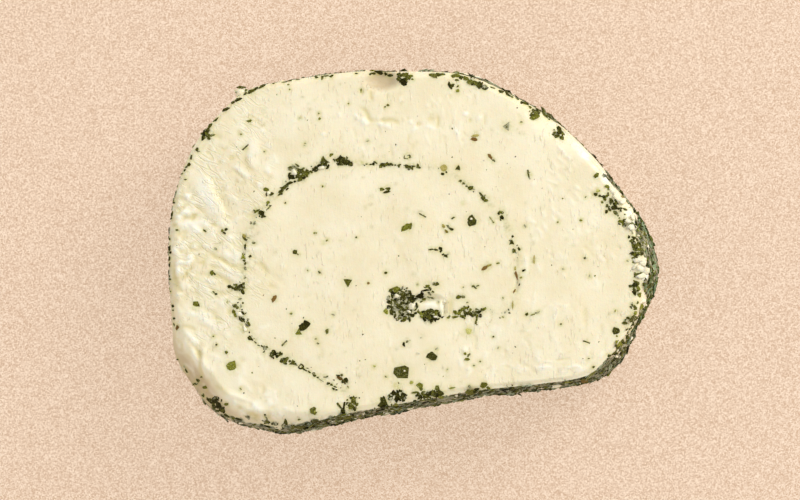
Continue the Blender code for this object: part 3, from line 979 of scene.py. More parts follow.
453.5 76 5 4 0 .35 .2
458 75.5 6 5 -10 .4 .2
461 77.5 5 4 30 .2 .1
457 80 4 1.8 0 .3 .3
466 78.5 6 4 -20 .38 .2
356.5 73.6 3.6 1.6 0 .15 .1
388 105.2 2.6 2.2 0 .4 .05
385.2 106.8 2 1.8 0 .4 .1
361 90.5 4 1.4 80 .55 .4
316.5 77.5 5 3 -30 .25 .2
322.3 77.5 5 2.6 80 .3 .2
332 76 5 2.4 30 .25 .3
326 76 6 1.2 0 .3 .3
303 77.5 3 1.8 0 .25 .2
298 79.3 4 1 0 .3 .3
289.5 80.8 7 1.4 10 .25 .2
284 82 5 1.2 0 .25 .2
273.5 83.4 2.6 1 0 .3 .2
266 84 6 1.6 10 .3 .3
262 86.5 7 2.4 30 .25 .2
251.5 91.3 10 5 28 .28 .03
245.5 93.5 5 2.4 40 .25 .05
256 88.8 5 2.6 30 .2 .05
288.3 84.6 2.4 1.2 0 .5 .3
289.5 89.5 1.6 1.5 0 .5 .1
249.5 121 6 3 0 .4 .03
318.8 113.3 2 1.6 0 .5 .1
319.5 118.8 3 2.2 40 .5 .1
305.3 143.3 2.4 1.2 0 .4 .4
304.5 145.3 2 1 0 .4 .6
262 126 4 1.2 -30 .4 .85
300 118 2 1.4 0 .55 .7
302.5 97 3 1.4 -50 .4 .8
368 141 4 1 20 .35 .7
241 134 2.4 2 0 .4 .7
348.5 103.5 1.4 1.2 0 .5 .3
264.3 151.7 1.6 1.3 0 .35 .3
285.5 202.8 2.8 1.8 60 .28 .3
322.7 186.3 3 1.8 80 .5 .1
356.3 237.3 2 1.7 0 .3 .3
363 177.5 2.4 1.4 -30 .45 .8
370.5 204.3 2.8 2.2 0 .35 .75
295 252 4.5 3.8 -20 .28 .05
298 254.5 3.5 1.2 -40 .35 .3
319.5 272.5 4 2.4 -45 .32 .4
307.5 270.5 1.6 1.3 0 .35 .4
291.3 313.8 3.2 2.2 0 .5 .05
302.8 327.2 7 8 38 .16 .02
306.6 324 7 8 38 .09 .02
333 314.5 4 1.6 -20 .35 .7
315.8 339 3 2 60 .4 .6
318 343.5 3 2 -20 .35 .6
327 240.5 3 2 30 .5 .2
315 233 3.4 1.8 0 .6 .5
385.8 272.8 3.6 2.6 0 .3 .3
417.5 284.5 2 1.6 0 .4 .6
463.4 287.3 1.8 1.4 0 .35 .4
467.5 302.3 2 1.3 0 .35 .5
386 376.7 3 1.4 -20 .3 .5
374.5 366.5 3.4 2 -15 .75 .3
493.5 160.5 4 2.4 -50 .3 .6
""")

CORNERS = table("""
323.5 160 7 6 90 .3 .05
458 168 5.5 4.5 80 .25 .1
511.8 242.5 5.5 5 90 .22 .15
293 363 8 6 -30 .3 .05
353.5 400.5 9 6 90 .4 .05
384 404 12 11 80 .22 .05
510 394 5.5 5 -90 .05 0
507 126.5 8 7 60 .32 .55
298.5 332.5 8 7 -150 .5 0
347.5 282 8 8 -90 .35 0
431 320 6 6 -90 .05 0
243.3 257 6 4.5 90 .6 .05
""")

STICKS = table("""
244.8 148 9 1.5 42 .25 .45
268.5 208 7 1.1 45 .3 .5
258 233 6 .8 40 .4 .8
344.5 407 10 1.8 86 .12 .05
340 406 7 1.8 -50 .25 .3
476.5 319.5 9 1.8 80 .4 .1
529 175 8 1.5 -78 .35 .55
586.5 342 6.5 1.2 -20 .3 .4
284.3 343.3 6.5 1.5 45 .3 .35
422.5 215.3 7 1.2 -28 .3 .5
265.8 417 6 1.8 -70 .35 .5
491 219 5 .9 -55 .45 .5
320.8 380 6 .8 -35 .3 .6
248 281 5 1 60 .45 .8
""")

RINGS = (
    (244.6, 326.8, 16, 9, -78, .14, .05), (397.5, 385.7, 8.5, 5, -75, .35, .4),
    (407.5, 156.8, 7.5, 4, 8, .32, .45), (301, 366.8, 5.4, 4.6, 20, .12, .05),
    (279.3, 354.8, 5, 4.4, 0, .2, .15),
)

WARM_BITS = (
    (274, 298.8, 6.4, 4.2, 60, .35), (443.6, 226.5, 5, 3, -65, .7), (474, 139.2, 5.5, 3.8, -10, .1),
    (476.5, 135.6, 9, 2.6, 4, .85), (490, 156.8, 6, 3.6, -60, .3), (484, 268.6, 7, 3, 38, .5),
    (488.8, 265.6, 7, 3.2, 25, .75), (516.4, 275.2, 8, 2.2, -75, .15), (515.3, 268.5, 4, 1.6, 85, .8),
    (514.8, 291, 8, 2.4, 70, .4), (443.3, 168.3, 7, 6.6, 0, .85), (243.6, 235.8, 4.4, 3.2, -40, .75),
    (368.3, 283.2, 3, 2.2, 15, .4), (534, 260, 9, 2, 88, .9), (512.8, 305, 7, 1.2, 88, .8),
)

PALE_BITS = (
    (361.5, 162.6, 11, 3.4, -6), (463.2, 203, 9, 2.4, 86), (323.6, 242.4, 7, 4.6, 80),
    (355.5, 161.5, 5, 2.6, -10),
)

CRUMBS = table("""
294.2 172.3 6.5 6 20 .15
268.4 193.2 4 4 0 .2
245 329.3 8 3 -78 .15
239.2 314 5.6 5.6 0 .25
321.8 167.8 7 4.4 10 .2
396.6 296 5.6 4.6 10 .2
412.2 305.6 8 6 75 .25
409.2 311.6 5.5 2.6 -30 .25
435.2 316.8 4.6 2 -10 .2
404.5 371 2.4 2 0 .08
471.6 219 3.2 2.2 0 .12
456.5 394.8 3.6 1.8 0 .15
336.2 388.6 2.2 1.6 0 .15
443.5 301.5 5 2 80 .3
642.6 301 6 3.6 70 .35
613 191 9 6 -50 .18
617 197 11 7 -40 .18
623 201 9 6 -45 .12
627 206 8 5 -30 .1
631 211 9 6 -60 .08
634 217 9 7 -50 .06
629 220 9 6 0 .04
632 227 8 8 20 .03
637 260 9 6 10 .02
643 262 9 8 60 .05
641 269 10 7 -30 .03
646 271 9 9 -20 .06
642 276 11 6 15 .04
635 267 8 5 40 .02
418.5 353 3.6 2 0 .12
616 356 3.4 2.6 0 .2
""")

# clumps: pixel, half sizes in pixels, turn, how many bits, tones from and to, film, darkness under
# the clump at pixel 417, 297 is black bits with darkness under them in the core's hollow: painted shadow
CLUMPS = table("""
402 304 15 17 0 126 .06 .36 .35 .95
429 287 7 6 0 3 .1 .4 .3 .12
431 315 11 5 0 28 .12 .55 .15 .9
464 312 9 5.5 10 17 .15 .5 .15 .58
477 313 7 4 10 15 .1 .35 .3 .5
417 297 8 2.6 8 20 0 .15 0 .89
429 319 8 2.6 -5 10 0 .15 0 .97
284 190 9 3 42 5 .08 .35 .15 .35
295 172 7 8 0 6 .1 .4 .55 .21
303 174 7 5.5 30 19 .15 .5 .1 .61
320 166 10 3.4 35 17 .08 .3 .15 .6
343 161 10 4.6 -8 24 .08 .4 .1 .69
260 213 7 4 -10 3 .15 .5 .2 .23
388 165 8 2.4 5 2 .3 .6 .2 .16
413 167 9 2.6 0 3 .2 .5 .3 .15
236 288 9 3.6 0 7 .2 .5 .15 .36
244 322 5 10 0 10 .12 .4 .35 .26
275 355 8 3.2 10 10 .08 .35 .15 .42
287 361 7 4 -10 11 .2 .5 .1 .4
313 374 14 1.8 -25 2 .25 .5 .3 .17
343 380 8 3.2 -48 6 .1 .3 .3 .43
352 405 6 9 0 11 .15 .45 .15 .32
484 198 5 4 -40 2 .3 .55 .3 .18
500 215 4 5 -40 2 .2 .45 .2 .22
612 204 12 7 -45 12 .08 .4 .25 .45
625 223 8 4 -10 8 .15 .5 .3 .29
636 250 6 11 10 32 .1 .5 .2 .49
636 286 6 12 0 11 .12 .5 .2 .32
634 315 7 10 20 7 .12 .5 .2 .31
398 396 10 5 5 26 .04 .26 .15 .48
430 395 14 4 8 35 .1 .4 .2 .5
518 388 8 4 12 9 .1 .35 .15 .41
217 404 9 6 -50 21 .08 .35 .2 .58
206 134 5 6 55 11 .2 .45 .15 .5
404 78 6 5 0 15 .1 .4 .1 .5
475 83 13 4 -25 16 .1 .35 .35 .41
534 113 6 5 -30 10 .15 .5 .1 .37
559 132 5 7 -70 10 .15 .4 .15 .46
236 421 12 3 -30 11 .1 .4 .4 .35
255 427 14 3 -14 14 .12 .45 .55 .3
278 431 16 3 -2 26 .08 .4 .5 .3
297 429 9 3 8 5 .1 .4 .4 .3
641 312 8 3.5 75 9 .12 .5 .35 .4
632 329 12 3.2 57 13 .1 .45 .35 .4
621 346 10 3.2 50 36 .1 .5 .35 .4
642 242 5 13 8 44 .12 .5 .55 .6
648 287 4.5 10 0 46 .12 .5 .5 .5
""")
print(len(CLUMPS), "clumps and", len(CHIPS) + len(CORNERS) + len(STICKS) + len(RINGS), "flakes placed by eye")

# %% [markdown]
# ## The cheese
#
# One closed body: a square grid pulled out to a disc makes the cut face, because its cells stay
# nearly even, where a fan of rings would crowd at the middle. The border is extruded down for the
# side, and bridged to a second, coarser disc for the back. The rise of every mark is added to the
# face's corners, so the knife marks are real form and not only shading.

# %% Steps of the cheese's mesh
FACE_CELLS = 268
BACK_CELLS = 96
WALL_ROWS = 13
# more than 1 crowds the side's rows towards the rim
CROWDING = 1.25
BACK_LIFT = 0.08
BACK_TRIM = 0.15
BACK_HOLLOW = 0.12


def disc_grid(bm, cells):
    """A grid of a unit square pulled out to the unit disc. Gives its corners."""
    made = bmesh.ops.create_grid(bm, x_segments=cells, y_segments=cells, size=1.0)["verts"]
    for v in made:
        u, w = v.co.x, v.co.y
        v.co.x = u * math.sqrt(1.0 - w * w / 2.0)
        v.co.y = w * math.sqrt(1.0 - u * u / 2.0)
    return made


def disc_to_slice(verts, at_back):
    """Places in the outline of the cut face, or of the back, for corners of the unit disc."""
    x = np.array([v.co.x for v in verts])
    y = np.array([v.co.y for v in verts])
    angle = np.arctan2(y, x)
    away = np.hypot(x, y)
    if at_back:
        reach = side_reach(angle, 0.0) - BACK_TRIM
    else:
        reach = rim_radius(angle) + rim_lumps(angle) * smooth_step((away - 0.9) / 0.1)
    return reach * away * np.cos(angle), reach * away * np.sin(angle)


def write_places(verts, x, y, z):
    """Moves corners to their places, in the part's frame and still in millimetres."""
    for v, a, b, c in zip(verts, x, y, z):
        v.co = (a + SHIFT.x, b + SHIFT.y, c)


# %% Build the cheese
def settle_order(bm):
    """Sorts the faces by their corners, since extruding leaves them in a new order on each run."""
    bm.verts.index_update()
    count = float(len(bm.verts))

    def place_in_order(face):
        first, second, third = sorted(v.index for v in face.verts)[:3]
        return (first * count + second) * count + third

    bm.faces.sort(key=place_in_order)


def build_cheese():
    """The whole body as a mesh in millimetres."""
    bm = bmesh.new()
    # the knife marks' tint: white smears and painted highlight above 0, yellow painted shade below 0
    tint_layer = bm.verts.layers.float.new("light_and_shade_tint")
    for layer in ("marks", "skin", "zones"):
        bm.verts.layers.float_color.new(layer)
    face = disc_grid(bm, FACE_CELLS)
    rim = [e for e in bm.edges if e.is_boundary]
    fx, fy = disc_to_slice(face, False)
    relief, tint = knife_relief(fx, fy)
    rise = face_height(fx, fy)
    inset = rim_radius(np.arctan2(fy, fx)) - np.hypot(fx, fy)
    fz = rise + relief * smooth_step((inset + 0.6) / 1.4)
    write_places(face, fx, fy, fz)
    for v, t in zip(face, tint):
        v[tint_layer] = t

    edges = rim
    for row in range(1, WALL_ROWS + 1):
        share = 1.0 - (row / WALL_ROWS) ** CROWDING
        made = bmesh.ops.extrude_edge_only(bm, edges=edges)["geom"]
        edges = [e for e in made if isinstance(e, bmesh.types.BMEdge)]
        ring = [v for v in made if isinstance(v, bmesh.types.BMVert)]
        edges = [e for e in edges if e.is_boundary]
        x = np.array([v.co.x for v in ring]) - SHIFT.x
        y = np.array([v.co.y for v in ring]) - SHIFT.y
        angle = np.arctan2(y, x)
        reach = side_reach(angle, share) + rim_lumps(angle) * smooth_step((share - 0.8) / 0.2)
        z = np.maximum(face_height(*on_rim(angle)) * share, BACK_LIFT)
        write_places(ring, reach * np.cos(angle), reach * np.sin(angle), z)

    before = set(bm.edges)
    back = disc_grid(bm, BACK_CELLS)
    fresh = [e for e in bm.edges if e not in before and e.is_boundary]
    bx, by = disc_to_slice(back, True)
    hollow = BACK_HOLLOW * np.abs(noise_at(bx / 3.0, by / 11.0, 8.0))
    write_places(back, bx, by, BACK_LIFT + hollow)
    behind = set(back)
    bmesh.ops.reverse_faces(bm, faces=[f for f in bm.faces if f.verts[0] in behind])
    bmesh.ops.bridge_loops(bm, edges=edges + fresh)
    bmesh.ops.recalc_face_normals(bm, faces=bm.faces[:])
    settle_order(bm)
    for f in bm.faces:
        f.smooth = True
    return bm


cheese_bm = build_cheese()
cheese_tree = BVHTree.FromBMesh(cheese_bm)
loose = sum(1 for e in cheese_bm.edges if not e.is_manifold)
print("cheese:", len(cheese_bm.faces), "faces,", loose, "open edges")


# %% [markdown]
# ## Laying a flake where the camera sees it
#
# A ray from the eye through a pixel meets the cheese at the place where the flake lies, and the
# surface there gives its lean. A flake low on the side is seen edge on, so its outline is carried
# down the same line of sight: it comes out as long as it must be to look right from the camera,
# and still lies on the side as seen from anywhere else.

# %% Rays to the cheese
LEAST_FACING = 0.42
# where a ray that misses the cheese is taken to end, in millimetres under the cut face
MISSED_UNDER = 1.5


def meet(px, py):
    """Place and outward direction on the cheese at a pixel, or nearest to it beside the rim."""
    ray = ray_through(px, py)
    spot, normal, _, _ = cheese_tree.ray_cast(EYE, ray)
    if spot is None:
        guess = EYE + ray * ((THICKNESS - MISSED_UNDER - EYE.z) / ray.z)
        spot, normal, _, _ = cheese_tree.find_nearest(guess)
    return spot, normal


def any_way(rng):
    """A vector of random length in a random direction."""
    return Vector((rng.gauss(0, 1), rng.gauss(0, 1), rng.gauss(0, 1)))


def seated_at(along, aside, up, seat):
    """The matrix that gives a unit shape these three edges and this place."""
    return Matrix([(along[k], aside[k], up[k], seat[k]) for k in range(3)] + [(0.0, 0.0, 0.0, 1.0)])


def lay(px, py, long, wide, turn, thick, proud, rng, tilt=4.0, seated=None):
    """A matrix that lays a shape of unit size at a pixel, as long and wide as it looks there."""
    spot, normal = seated or meet(px, py)
    facing = normal.dot(TO_CAMERA)
    if facing < LEAST_FACING:
        normal = (normal + TO_CAMERA * (LEAST_FACING - facing)).normalized()
    angle = math.radians(turn)
    length = (SIDEWAYS * math.cos(angle) + UPWARDS * math.sin(angle)) * (long * PIXEL)
    width = (UPWARDS * math.cos(angle) - SIDEWAYS * math.sin(angle)) * (wide * PIXEL)
    lean = any_way(rng) * math.tan(math.radians(tilt))
    plane = (normal + lean * 0.6).normalized()
    facing = plane.dot(TO_CAMERA)
    length -= TO_CAMERA * (length.dot(plane) / facing)
    width -= TO_CAMERA * (width.dot(plane) / facing)
    return seated_at(length, width, plane * thick, spot + normal * proud)


# %% [markdown]
# ## Shapes of the herbs
#
# Chopped parsley is flat with straight torn edges, chives are little rings, and stalks are short
# sticks. Each kind is made a few times over from a bmesh circle or grid, with its corners pulled
# about and a little thickness, and has only a few dozen faces, because it is used thousands of
# times. A shape lies at z from -1 to 0 and is one unit long, so a matrix can give its true size.

# %% Flake shapes
def finish_shape(bm, name):
    """Closes a flat shape into a thin one that hangs below z = 0, and keeps it as a mesh."""
    bmesh.ops.recalc_face_normals(bm, faces=bm.faces[:])
    if sum(f.normal.z for f in bm.faces) < 0.0:
        bmesh.ops.reverse_faces(bm, faces=bm.faces[:])
    bmesh.ops.solidify(bm, geom=bm.faces[:], thickness=1.0)
    bmesh.ops.remove_doubles(bm, verts=bm.verts[:], dist=1e-5)
    bmesh.ops.recalc_face_normals(bm, faces=bm.faces[:])
    top = max(v.co.z for v in bm.verts)
    bmesh.ops.translate(bm, verts=bm.verts[:], vec=(0.0, 0.0, -top))
    return as_mesh(bm, name)


def torn_leaf(seed, corners):
    """A flat piece of leaf with an uneven outline and a slight crease."""
    rng = random.Random(seed)
    bm = bmesh.new()
    made = bmesh.ops.create_circle(bm, cap_ends=True, segments=corners, radius=0.5)["verts"]
    for v in made:
        turn = math.atan2(v.co.y, v.co.x) + rng.uniform(-0.4, 0.4) * 6.0 / corners
        far = rng.uniform(0.38, 0.64)
        v.co = (math.cos(turn) * far, math.sin(turn) * far, rng.uniform(-0.12, 0.05))
    middle = bmesh.ops.poke(bm, faces=bm.faces[:])["verts"]
    for v in middle:
        v.co = (rng.uniform(-0.12, 0.12), rng.uniform(-0.12, 0.12), rng.uniform(-0.05, 0.15))
    return finish_shape(bm, f"leaf_{seed}")


def corner_piece(seed):
    """A three-cornered piece whose point is at +X."""
    rng = random.Random(seed)
    bm = bmesh.new()
    bmesh.ops.create_circle(bm, cap_ends=True, segments=3, radius=0.58)
    far = max(bm.verts, key=lambda v: v.co.length_squared)
    to_x = Matrix.Rotation(-math.atan2(far.co.y, far.co.x), 3, "Z")
    bmesh.ops.rotate(bm, verts=bm.verts[:], matrix=to_x)
    bmesh.ops.subdivide_edges(bm, edges=bm.edges[:], cuts=1)
    for v in bm.verts:
        v.co += Vector((rng.uniform(-0.07, 0.07), rng.uniform(-0.07, 0.07), rng.uniform(-0.1, 0.04)))
    bmesh.ops.poke(bm, faces=bm.faces[:])
    return finish_shape(bm, f"corner_{seed}")


def stalk(seed):
    """A short stick, bent a little."""
    rng = random.Random(seed)
    bm = bmesh.new()
    made = bmesh.ops.create_grid(bm, x_segments=4, y_segments=1, size=0.5)["verts"]
    bend = rng.uniform(-0.3, 0.3)
    for v in made:
        v.co.y = v.co.y * rng.uniform(0.7, 1.1) + bend * (1.0 - 4.0 * v.co.x * v.co.x)
        v.co.x += rng.uniform(-0.04, 0.04)
        v.co.z = rng.uniform(-0.1, 0.05)
    return finish_shape(bm, f"stalk_{seed}")


def chive_ring(seed, broken):
    """A curled leaf or a cut ring of chive, whole or with a gap."""
    rng = random.Random(seed)
    bm = bmesh.new()
    bmesh.ops.create_circle(bm, cap_ends=True, segments=10, radius=0.5)
    for v in bm.verts:
        v.co *= rng.uniform(0.78, 1.12)
    bmesh.ops.inset_region(
        bm, faces=bm.faces[:], thickness=rng.uniform(0.15, 0.22), use_boundary=True, use_even_offset=True
    )
    hole = max(bm.faces, key=lambda f: len(f.verts))
    bmesh.ops.delete(bm, geom=[hole], context="FACES")
    if broken:
        gap = rng.sample(list(bm.faces), 2)
        bmesh.ops.delete(bm, geom=gap, context="FACES")
    for v in bm.verts:
        v.co.z = rng.uniform(-0.12, 0.05)
        v.co.x += rng.uniform(-0.04, 0.04)
        v.co.y += rng.uniform(-0.04, 0.04)
    return finish_shape(bm, f"chive_{seed}")


LEAVES = [torn_leaf(100 + k, 5 + k % 5) for k in range(18)]
CORNER_PIECES = [corner_piece(200 + k) for k in range(4)]
STALKS = [stalk(300 + k) for k in range(4)]
CHIVES = [chive_ring(400 + k, k % 3 > 0) for k in range(6)]
SHAPES = LEAVES + CORNER_PIECES + STALKS + CHIVES
print("shapes:", len(SHAPES), "up to", max(len(m.polygons) for m in SHAPES), "faces")


# %% A pile of flakes that becomes one piece
BATCH = 40


class Pile:
    """Collects laid shapes in small batches and joins them, since a small mesh is quick to edit."""

    def __init__(self, layer):
        self.layer_name = layer
        self.whole = bmesh.new()
        self.whole.verts.layers.float_color.new(layer)
        self.batch = None
        self.count = 0

    def add(self, shape, matrix, colour):
        """Lays a copy of a shape, and writes its tone, film and warmth on its corners."""
        if self.batch is None:
            self.batch = bmesh.new()
            self.batch.verts.layers.float_color.new(self.layer_name)
        start = len(self.batch.verts)
        self.batch.from_mesh(shape)
        self.batch.verts.ensure_lookup_table()
        fresh = self.batch.verts[start:]
        bmesh.ops.transform(self.batch, matrix=matrix, verts=fresh)
        layer = self.batch.verts.layers.float_color[self.layer_name]
        for v in fresh:
            v[layer] = colour
        self.count += 1
        if self.count % BATCH == 0:
            self.join()

    def join(self):
        """Moves the batch into the whole."""
        if self.batch is not None:
            carrier = as_mesh(self.batch, "carrier")
            self.whole.from_mesh(carrier)
            bpy.data.meshes.remove(carrier)
            self.batch = None

    def piece(self, name, material, smooth=False):
        """The finished object, in metres."""
        self.join()
        return make_piece(self.whole, name, material, smooth)


def make_piece(bm, name, material, smooth):
    """Turns a mesh in millimetres into an object in metres, at the origin."""
    bmesh.ops.scale(bm, vec=(MM, MM, MM), verts=bm.verts[:])
    for f in bm.faces:
        f.smooth = smooth
    mesh = as_mesh(bm, name)
    mesh.materials.append(material)
    print(f"{name}: {sum(len(p.vertices) - 2 for p in mesh.polygons)} triangles")
    return put_in_scene(name, mesh)


# %% [markdown]
# ## Finishes
#
# Fresh cheese is nearly white with a warm cast, waxy where the knife pressed it and stained
# yellow-green where a leaf has wept. Herbs run from black to straw, and many are smeared over
# with cheese. Both finishes are built from nodes: noise for what has no place of its own, and
# attributes on the mesh for what does. What two finishes share is a node group.

# %% Small helpers for nodes
def feed(tree, socket, value):
    """Links a socket to another one, or sets it to a number, a vector or a colour."""
    if isinstance(value, bpy.types.NodeSocket):
        tree.links.new(value, socket)
    elif socket.type == "RGBA" and len(value) == 3:
        socket.default_value = (*value, 1.0)
    else:
        socket.default_value = value


def add(tree, kind, settings=None, **inputs):
    """A node with its settings, and its inputs fed by name."""
    made = tree.nodes.new(kind)
    for name, value in (settings or {}).items():
        setattr(made, name, value)
    for name, value in inputs.items():
        feed(tree, made.inputs[name.replace("_", " ")], value)
    return made


def blend(tree, factor, a, b, how="MIX"):
    """The colour output of a colour mix."""
    made = add(tree, "ShaderNodeMix", {"data_type": "RGBA", "blend_type": how})
    for index, value in ((0, factor), (6, a), (7, b)):
        feed(tree, made.inputs[index], value)
    return made.outputs[2]


def sums(tree, how, a, b=0.0, c=0.0, clamp=False):
    """The output of a maths node."""
    made = add(tree, "ShaderNodeMath", {"operation": how, "use_clamp": clamp})
    for index, value in enumerate((a, b, c)):
        feed(tree, made.inputs[index], value)
    return made.outputs[0]


def ramp(tree, value, low, high, start=0.0, end=1.0):
    """A smooth step of a value between two limits."""
    made = add(tree, "ShaderNodeMapRange", {"interpolation_type": "SMOOTHSTEP"}, Value=value,
               From_Min=low, From_Max=high, To_Min=start, To_Max=end)
    return made.outputs["Result"]


def grain(tree, place, scale, detail, roughness=0.5, distortion=0.0):
    """The value of a noise texture."""
    made = add(tree, "ShaderNodeTexNoise", Vector=place, Scale=scale, Detail=detail,
               Roughness=roughness, Distortion=distortion)
    return made.outputs["Fac"]


def mapped(tree, place, scale=(1.0, 1.0, 1.0), turn=0.0):
    """A place scaled, and turned about Z by an angle in radians."""
    return add(tree, "ShaderNodeMapping", Vector=place, Scale=scale, Rotation=(0.0, 0.0, turn)).outputs[0]


def channels(tree, colour):
    """The red, green and blue of a colour."""
    return add(tree, "ShaderNodeSeparateColor", Color=colour).outputs[:3]


def painted(tree, name):
    """The colour that the mesh carries in one of its attributes."""
    return add(tree, "ShaderNodeAttribute", {"attribute_name": name}).outputs["Color"]


def new_group(name, inputs, outputs):
    """An empty node group with named sockets, each a Float, a Vector or a Color."""
    group = bpy.data.node_groups.new(name, "ShaderNodeTree")
    for way, sockets in (("INPUT", inputs), ("OUTPUT", outputs)):
        for label, kind in sockets.items():
            group.interface.new_socket(name=label, in_out=way, socket_type="NodeSocket" + kind)
    return group, group.nodes.new("NodeGroupInput").outputs, group.nodes.new("NodeGroupOutput").inputs


def new_material(name):
    """A material with its Principled shader."""
    material = bpy.data.materials.new(name)
    material.use_nodes = True
    return material, material.node_tree, material.node_tree.nodes["Principled BSDF"]


def in_millimetres(tree):
    """Object coordinates in millimetres."""
    return mapped(tree, add(tree, "ShaderNodeTexCoord").outputs["Object"], (1.0 / MM,) * 3)


def placed_use(tree, group, **inputs):
    """The outputs of a node group placed in a material."""
    return add(tree, "ShaderNodeGroup", {"node_tree": group}, **inputs).outputs


def dress(tree, shader, colour, roughness, height, strength, depth):
    """Feeds a shader its colour, its roughness and a bump from a height."""
    bump = add(tree, "ShaderNodeBump", Height=height, Strength=strength, Distance=depth).outputs["Normal"]
    for name, value in (("Base Color", colour), ("Roughness", roughness), ("Normal", bump)):
        feed(tree, shader.inputs[name], value)


# %% The curd: what all the cheese shares
SPECK_RARITY = 0.93
DRAG_DEPTH = 0.45
NICK_DEPTH = 1.1
GRAIN_DEPTH = 0.55


def build_curd():
    """Mottling, tiny herb specks and the height of fine drag marks, nicks and grain."""
    tree, given, made = new_group(
        "curd", {"Place": "Vector"}, {"Mottle": "Float", "Specks": "Float", "Height": "Float"}
    )
    place = given["Place"]
    feed(tree, made["Mottle"], grain(tree, place, 0.16, 4.0, 0.6))
    cells = add(tree, "ShaderNodeTexVoronoi", Vector=place, Scale=0.75, Randomness=1.0).outputs
    red, green, _ = channels(tree, cells["Color"])
    chosen = sums(tree, "GREATER_THAN", red, SPECK_RARITY)
    near = sums(tree, "LESS_THAN", cells["Distance"], sums(tree, "MULTIPLY_ADD", green, 0.09, 0.04))
    feed(tree, made["Specks"], sums(tree, "MULTIPLY", chosen, near))
    drag = grain(tree, mapped(tree, place, (2.6, 0.5, 2.0), 0.06), 0.9, 5.0, 0.62, 0.3)
    nick = grain(tree, mapped(tree, place, (3.2, 0.75, 2.0), -0.12), 0.8, 2.0, 0.5, 0.4)
    bound = ramp(tree, grain(tree, place, 0.11, 2.0), 0.35, 0.65, 0.7, 0.6)
    nicks = sums(tree, "MULTIPLY", sums(tree, "SUBTRACT", nick, bound), 9.0, clamp=True)
    pulled = sums(tree, "MULTIPLY", drag, DRAG_DEPTH)
    height = sums(tree, "MULTIPLY_ADD", grain(tree, place, 2.4, 4.0, 0.65), GRAIN_DEPTH, pulled)
    feed(tree, made["Height"], sums(tree, "MULTIPLY_ADD", nicks, NICK_DEPTH, height))
    return tree


CURD = build_curd()


# %% The folds: where the knife crumpled the left of the face
FOLD_TURN = 0.6
FOLD_SHAPE = (0.28, 0.85, 0.6)
# half the width of a groove or ridge, and how far a ridge is from its groove, in steps of the noise
FOLD_WIDTH = 0.05
RIDGE_BESIDE = 0.09


def build_folds():
    """Short slanting grooves and ridges, as two masks."""
    tree, given, made = new_group("folds", {"Place": "Vector"}, {"Groove": "Float", "Ridge": "Float"})
    drawn = mapped(tree, mapped(tree, given["Place"], turn=FOLD_TURN), FOLD_SHAPE)
    wave = grain(tree, drawn, 0.8, 1.6, 0.55, 0.7)
    even = sums(tree, "ABSOLUTE", sums(tree, "SUBTRACT", wave, 0.5))
    aside = sums(tree, "ABSOLUTE", sums(tree, "SUBTRACT", even, RIDGE_BESIDE))
    open_here = ramp(tree, grain(tree, given["Place"], 0.3, 2.0), 0.42, 0.58)
    for name, off in (("Groove", even), ("Ridge", aside)):
        mask = ramp(tree, off, 0.0, FOLD_WIDTH, 1.0, 0.0)
        feed(tree, made[name], sums(tree, "MULTIPLY", mask, open_here))
    return tree


FOLDS = build_folds()


# %% The cheese
CHEESE = (0.925, 0.845, 0.625)
CHEESE_DEEP = (0.87, 0.77, 0.52)
# white of smears and of painted highlight on ridges, then yellow painted shade in grooves
HIGHLIGHT_AND_SMEAR_WHITE = (0.97, 0.93, 0.78)
GROOVE_SHADE_YELLOW = (0.72, 0.62, 0.29)
STAIN = (0.6, 0.57, 0.17)
BURIED = (0.12, 0.125, 0.06)
SMEAR = (0.44, 0.43, 0.28)
CRUST = (0.105, 0.11, 0.052)
# tan painted shade on the fallen edge and in the notch, where they face away from the light
EDGE_SHADE_TAN = (0.575, 0.445, 0.265)
# yellow painted shade in the fold grooves
FOLD_GROOVE_SHADE = (0.82, 0.76, 0.41)
BUMP_DEPTH = 0.00012
# how far the folds' painted shade in the grooves, painted highlight on the ridges, and heights go
FOLD_SHADE_STRENGTH, FOLD_HIGHLIGHT_STRENGTH, FOLD_HEIGHT = 0.5, 0.35, 0.5
SPECK_STRENGTH = 0.4


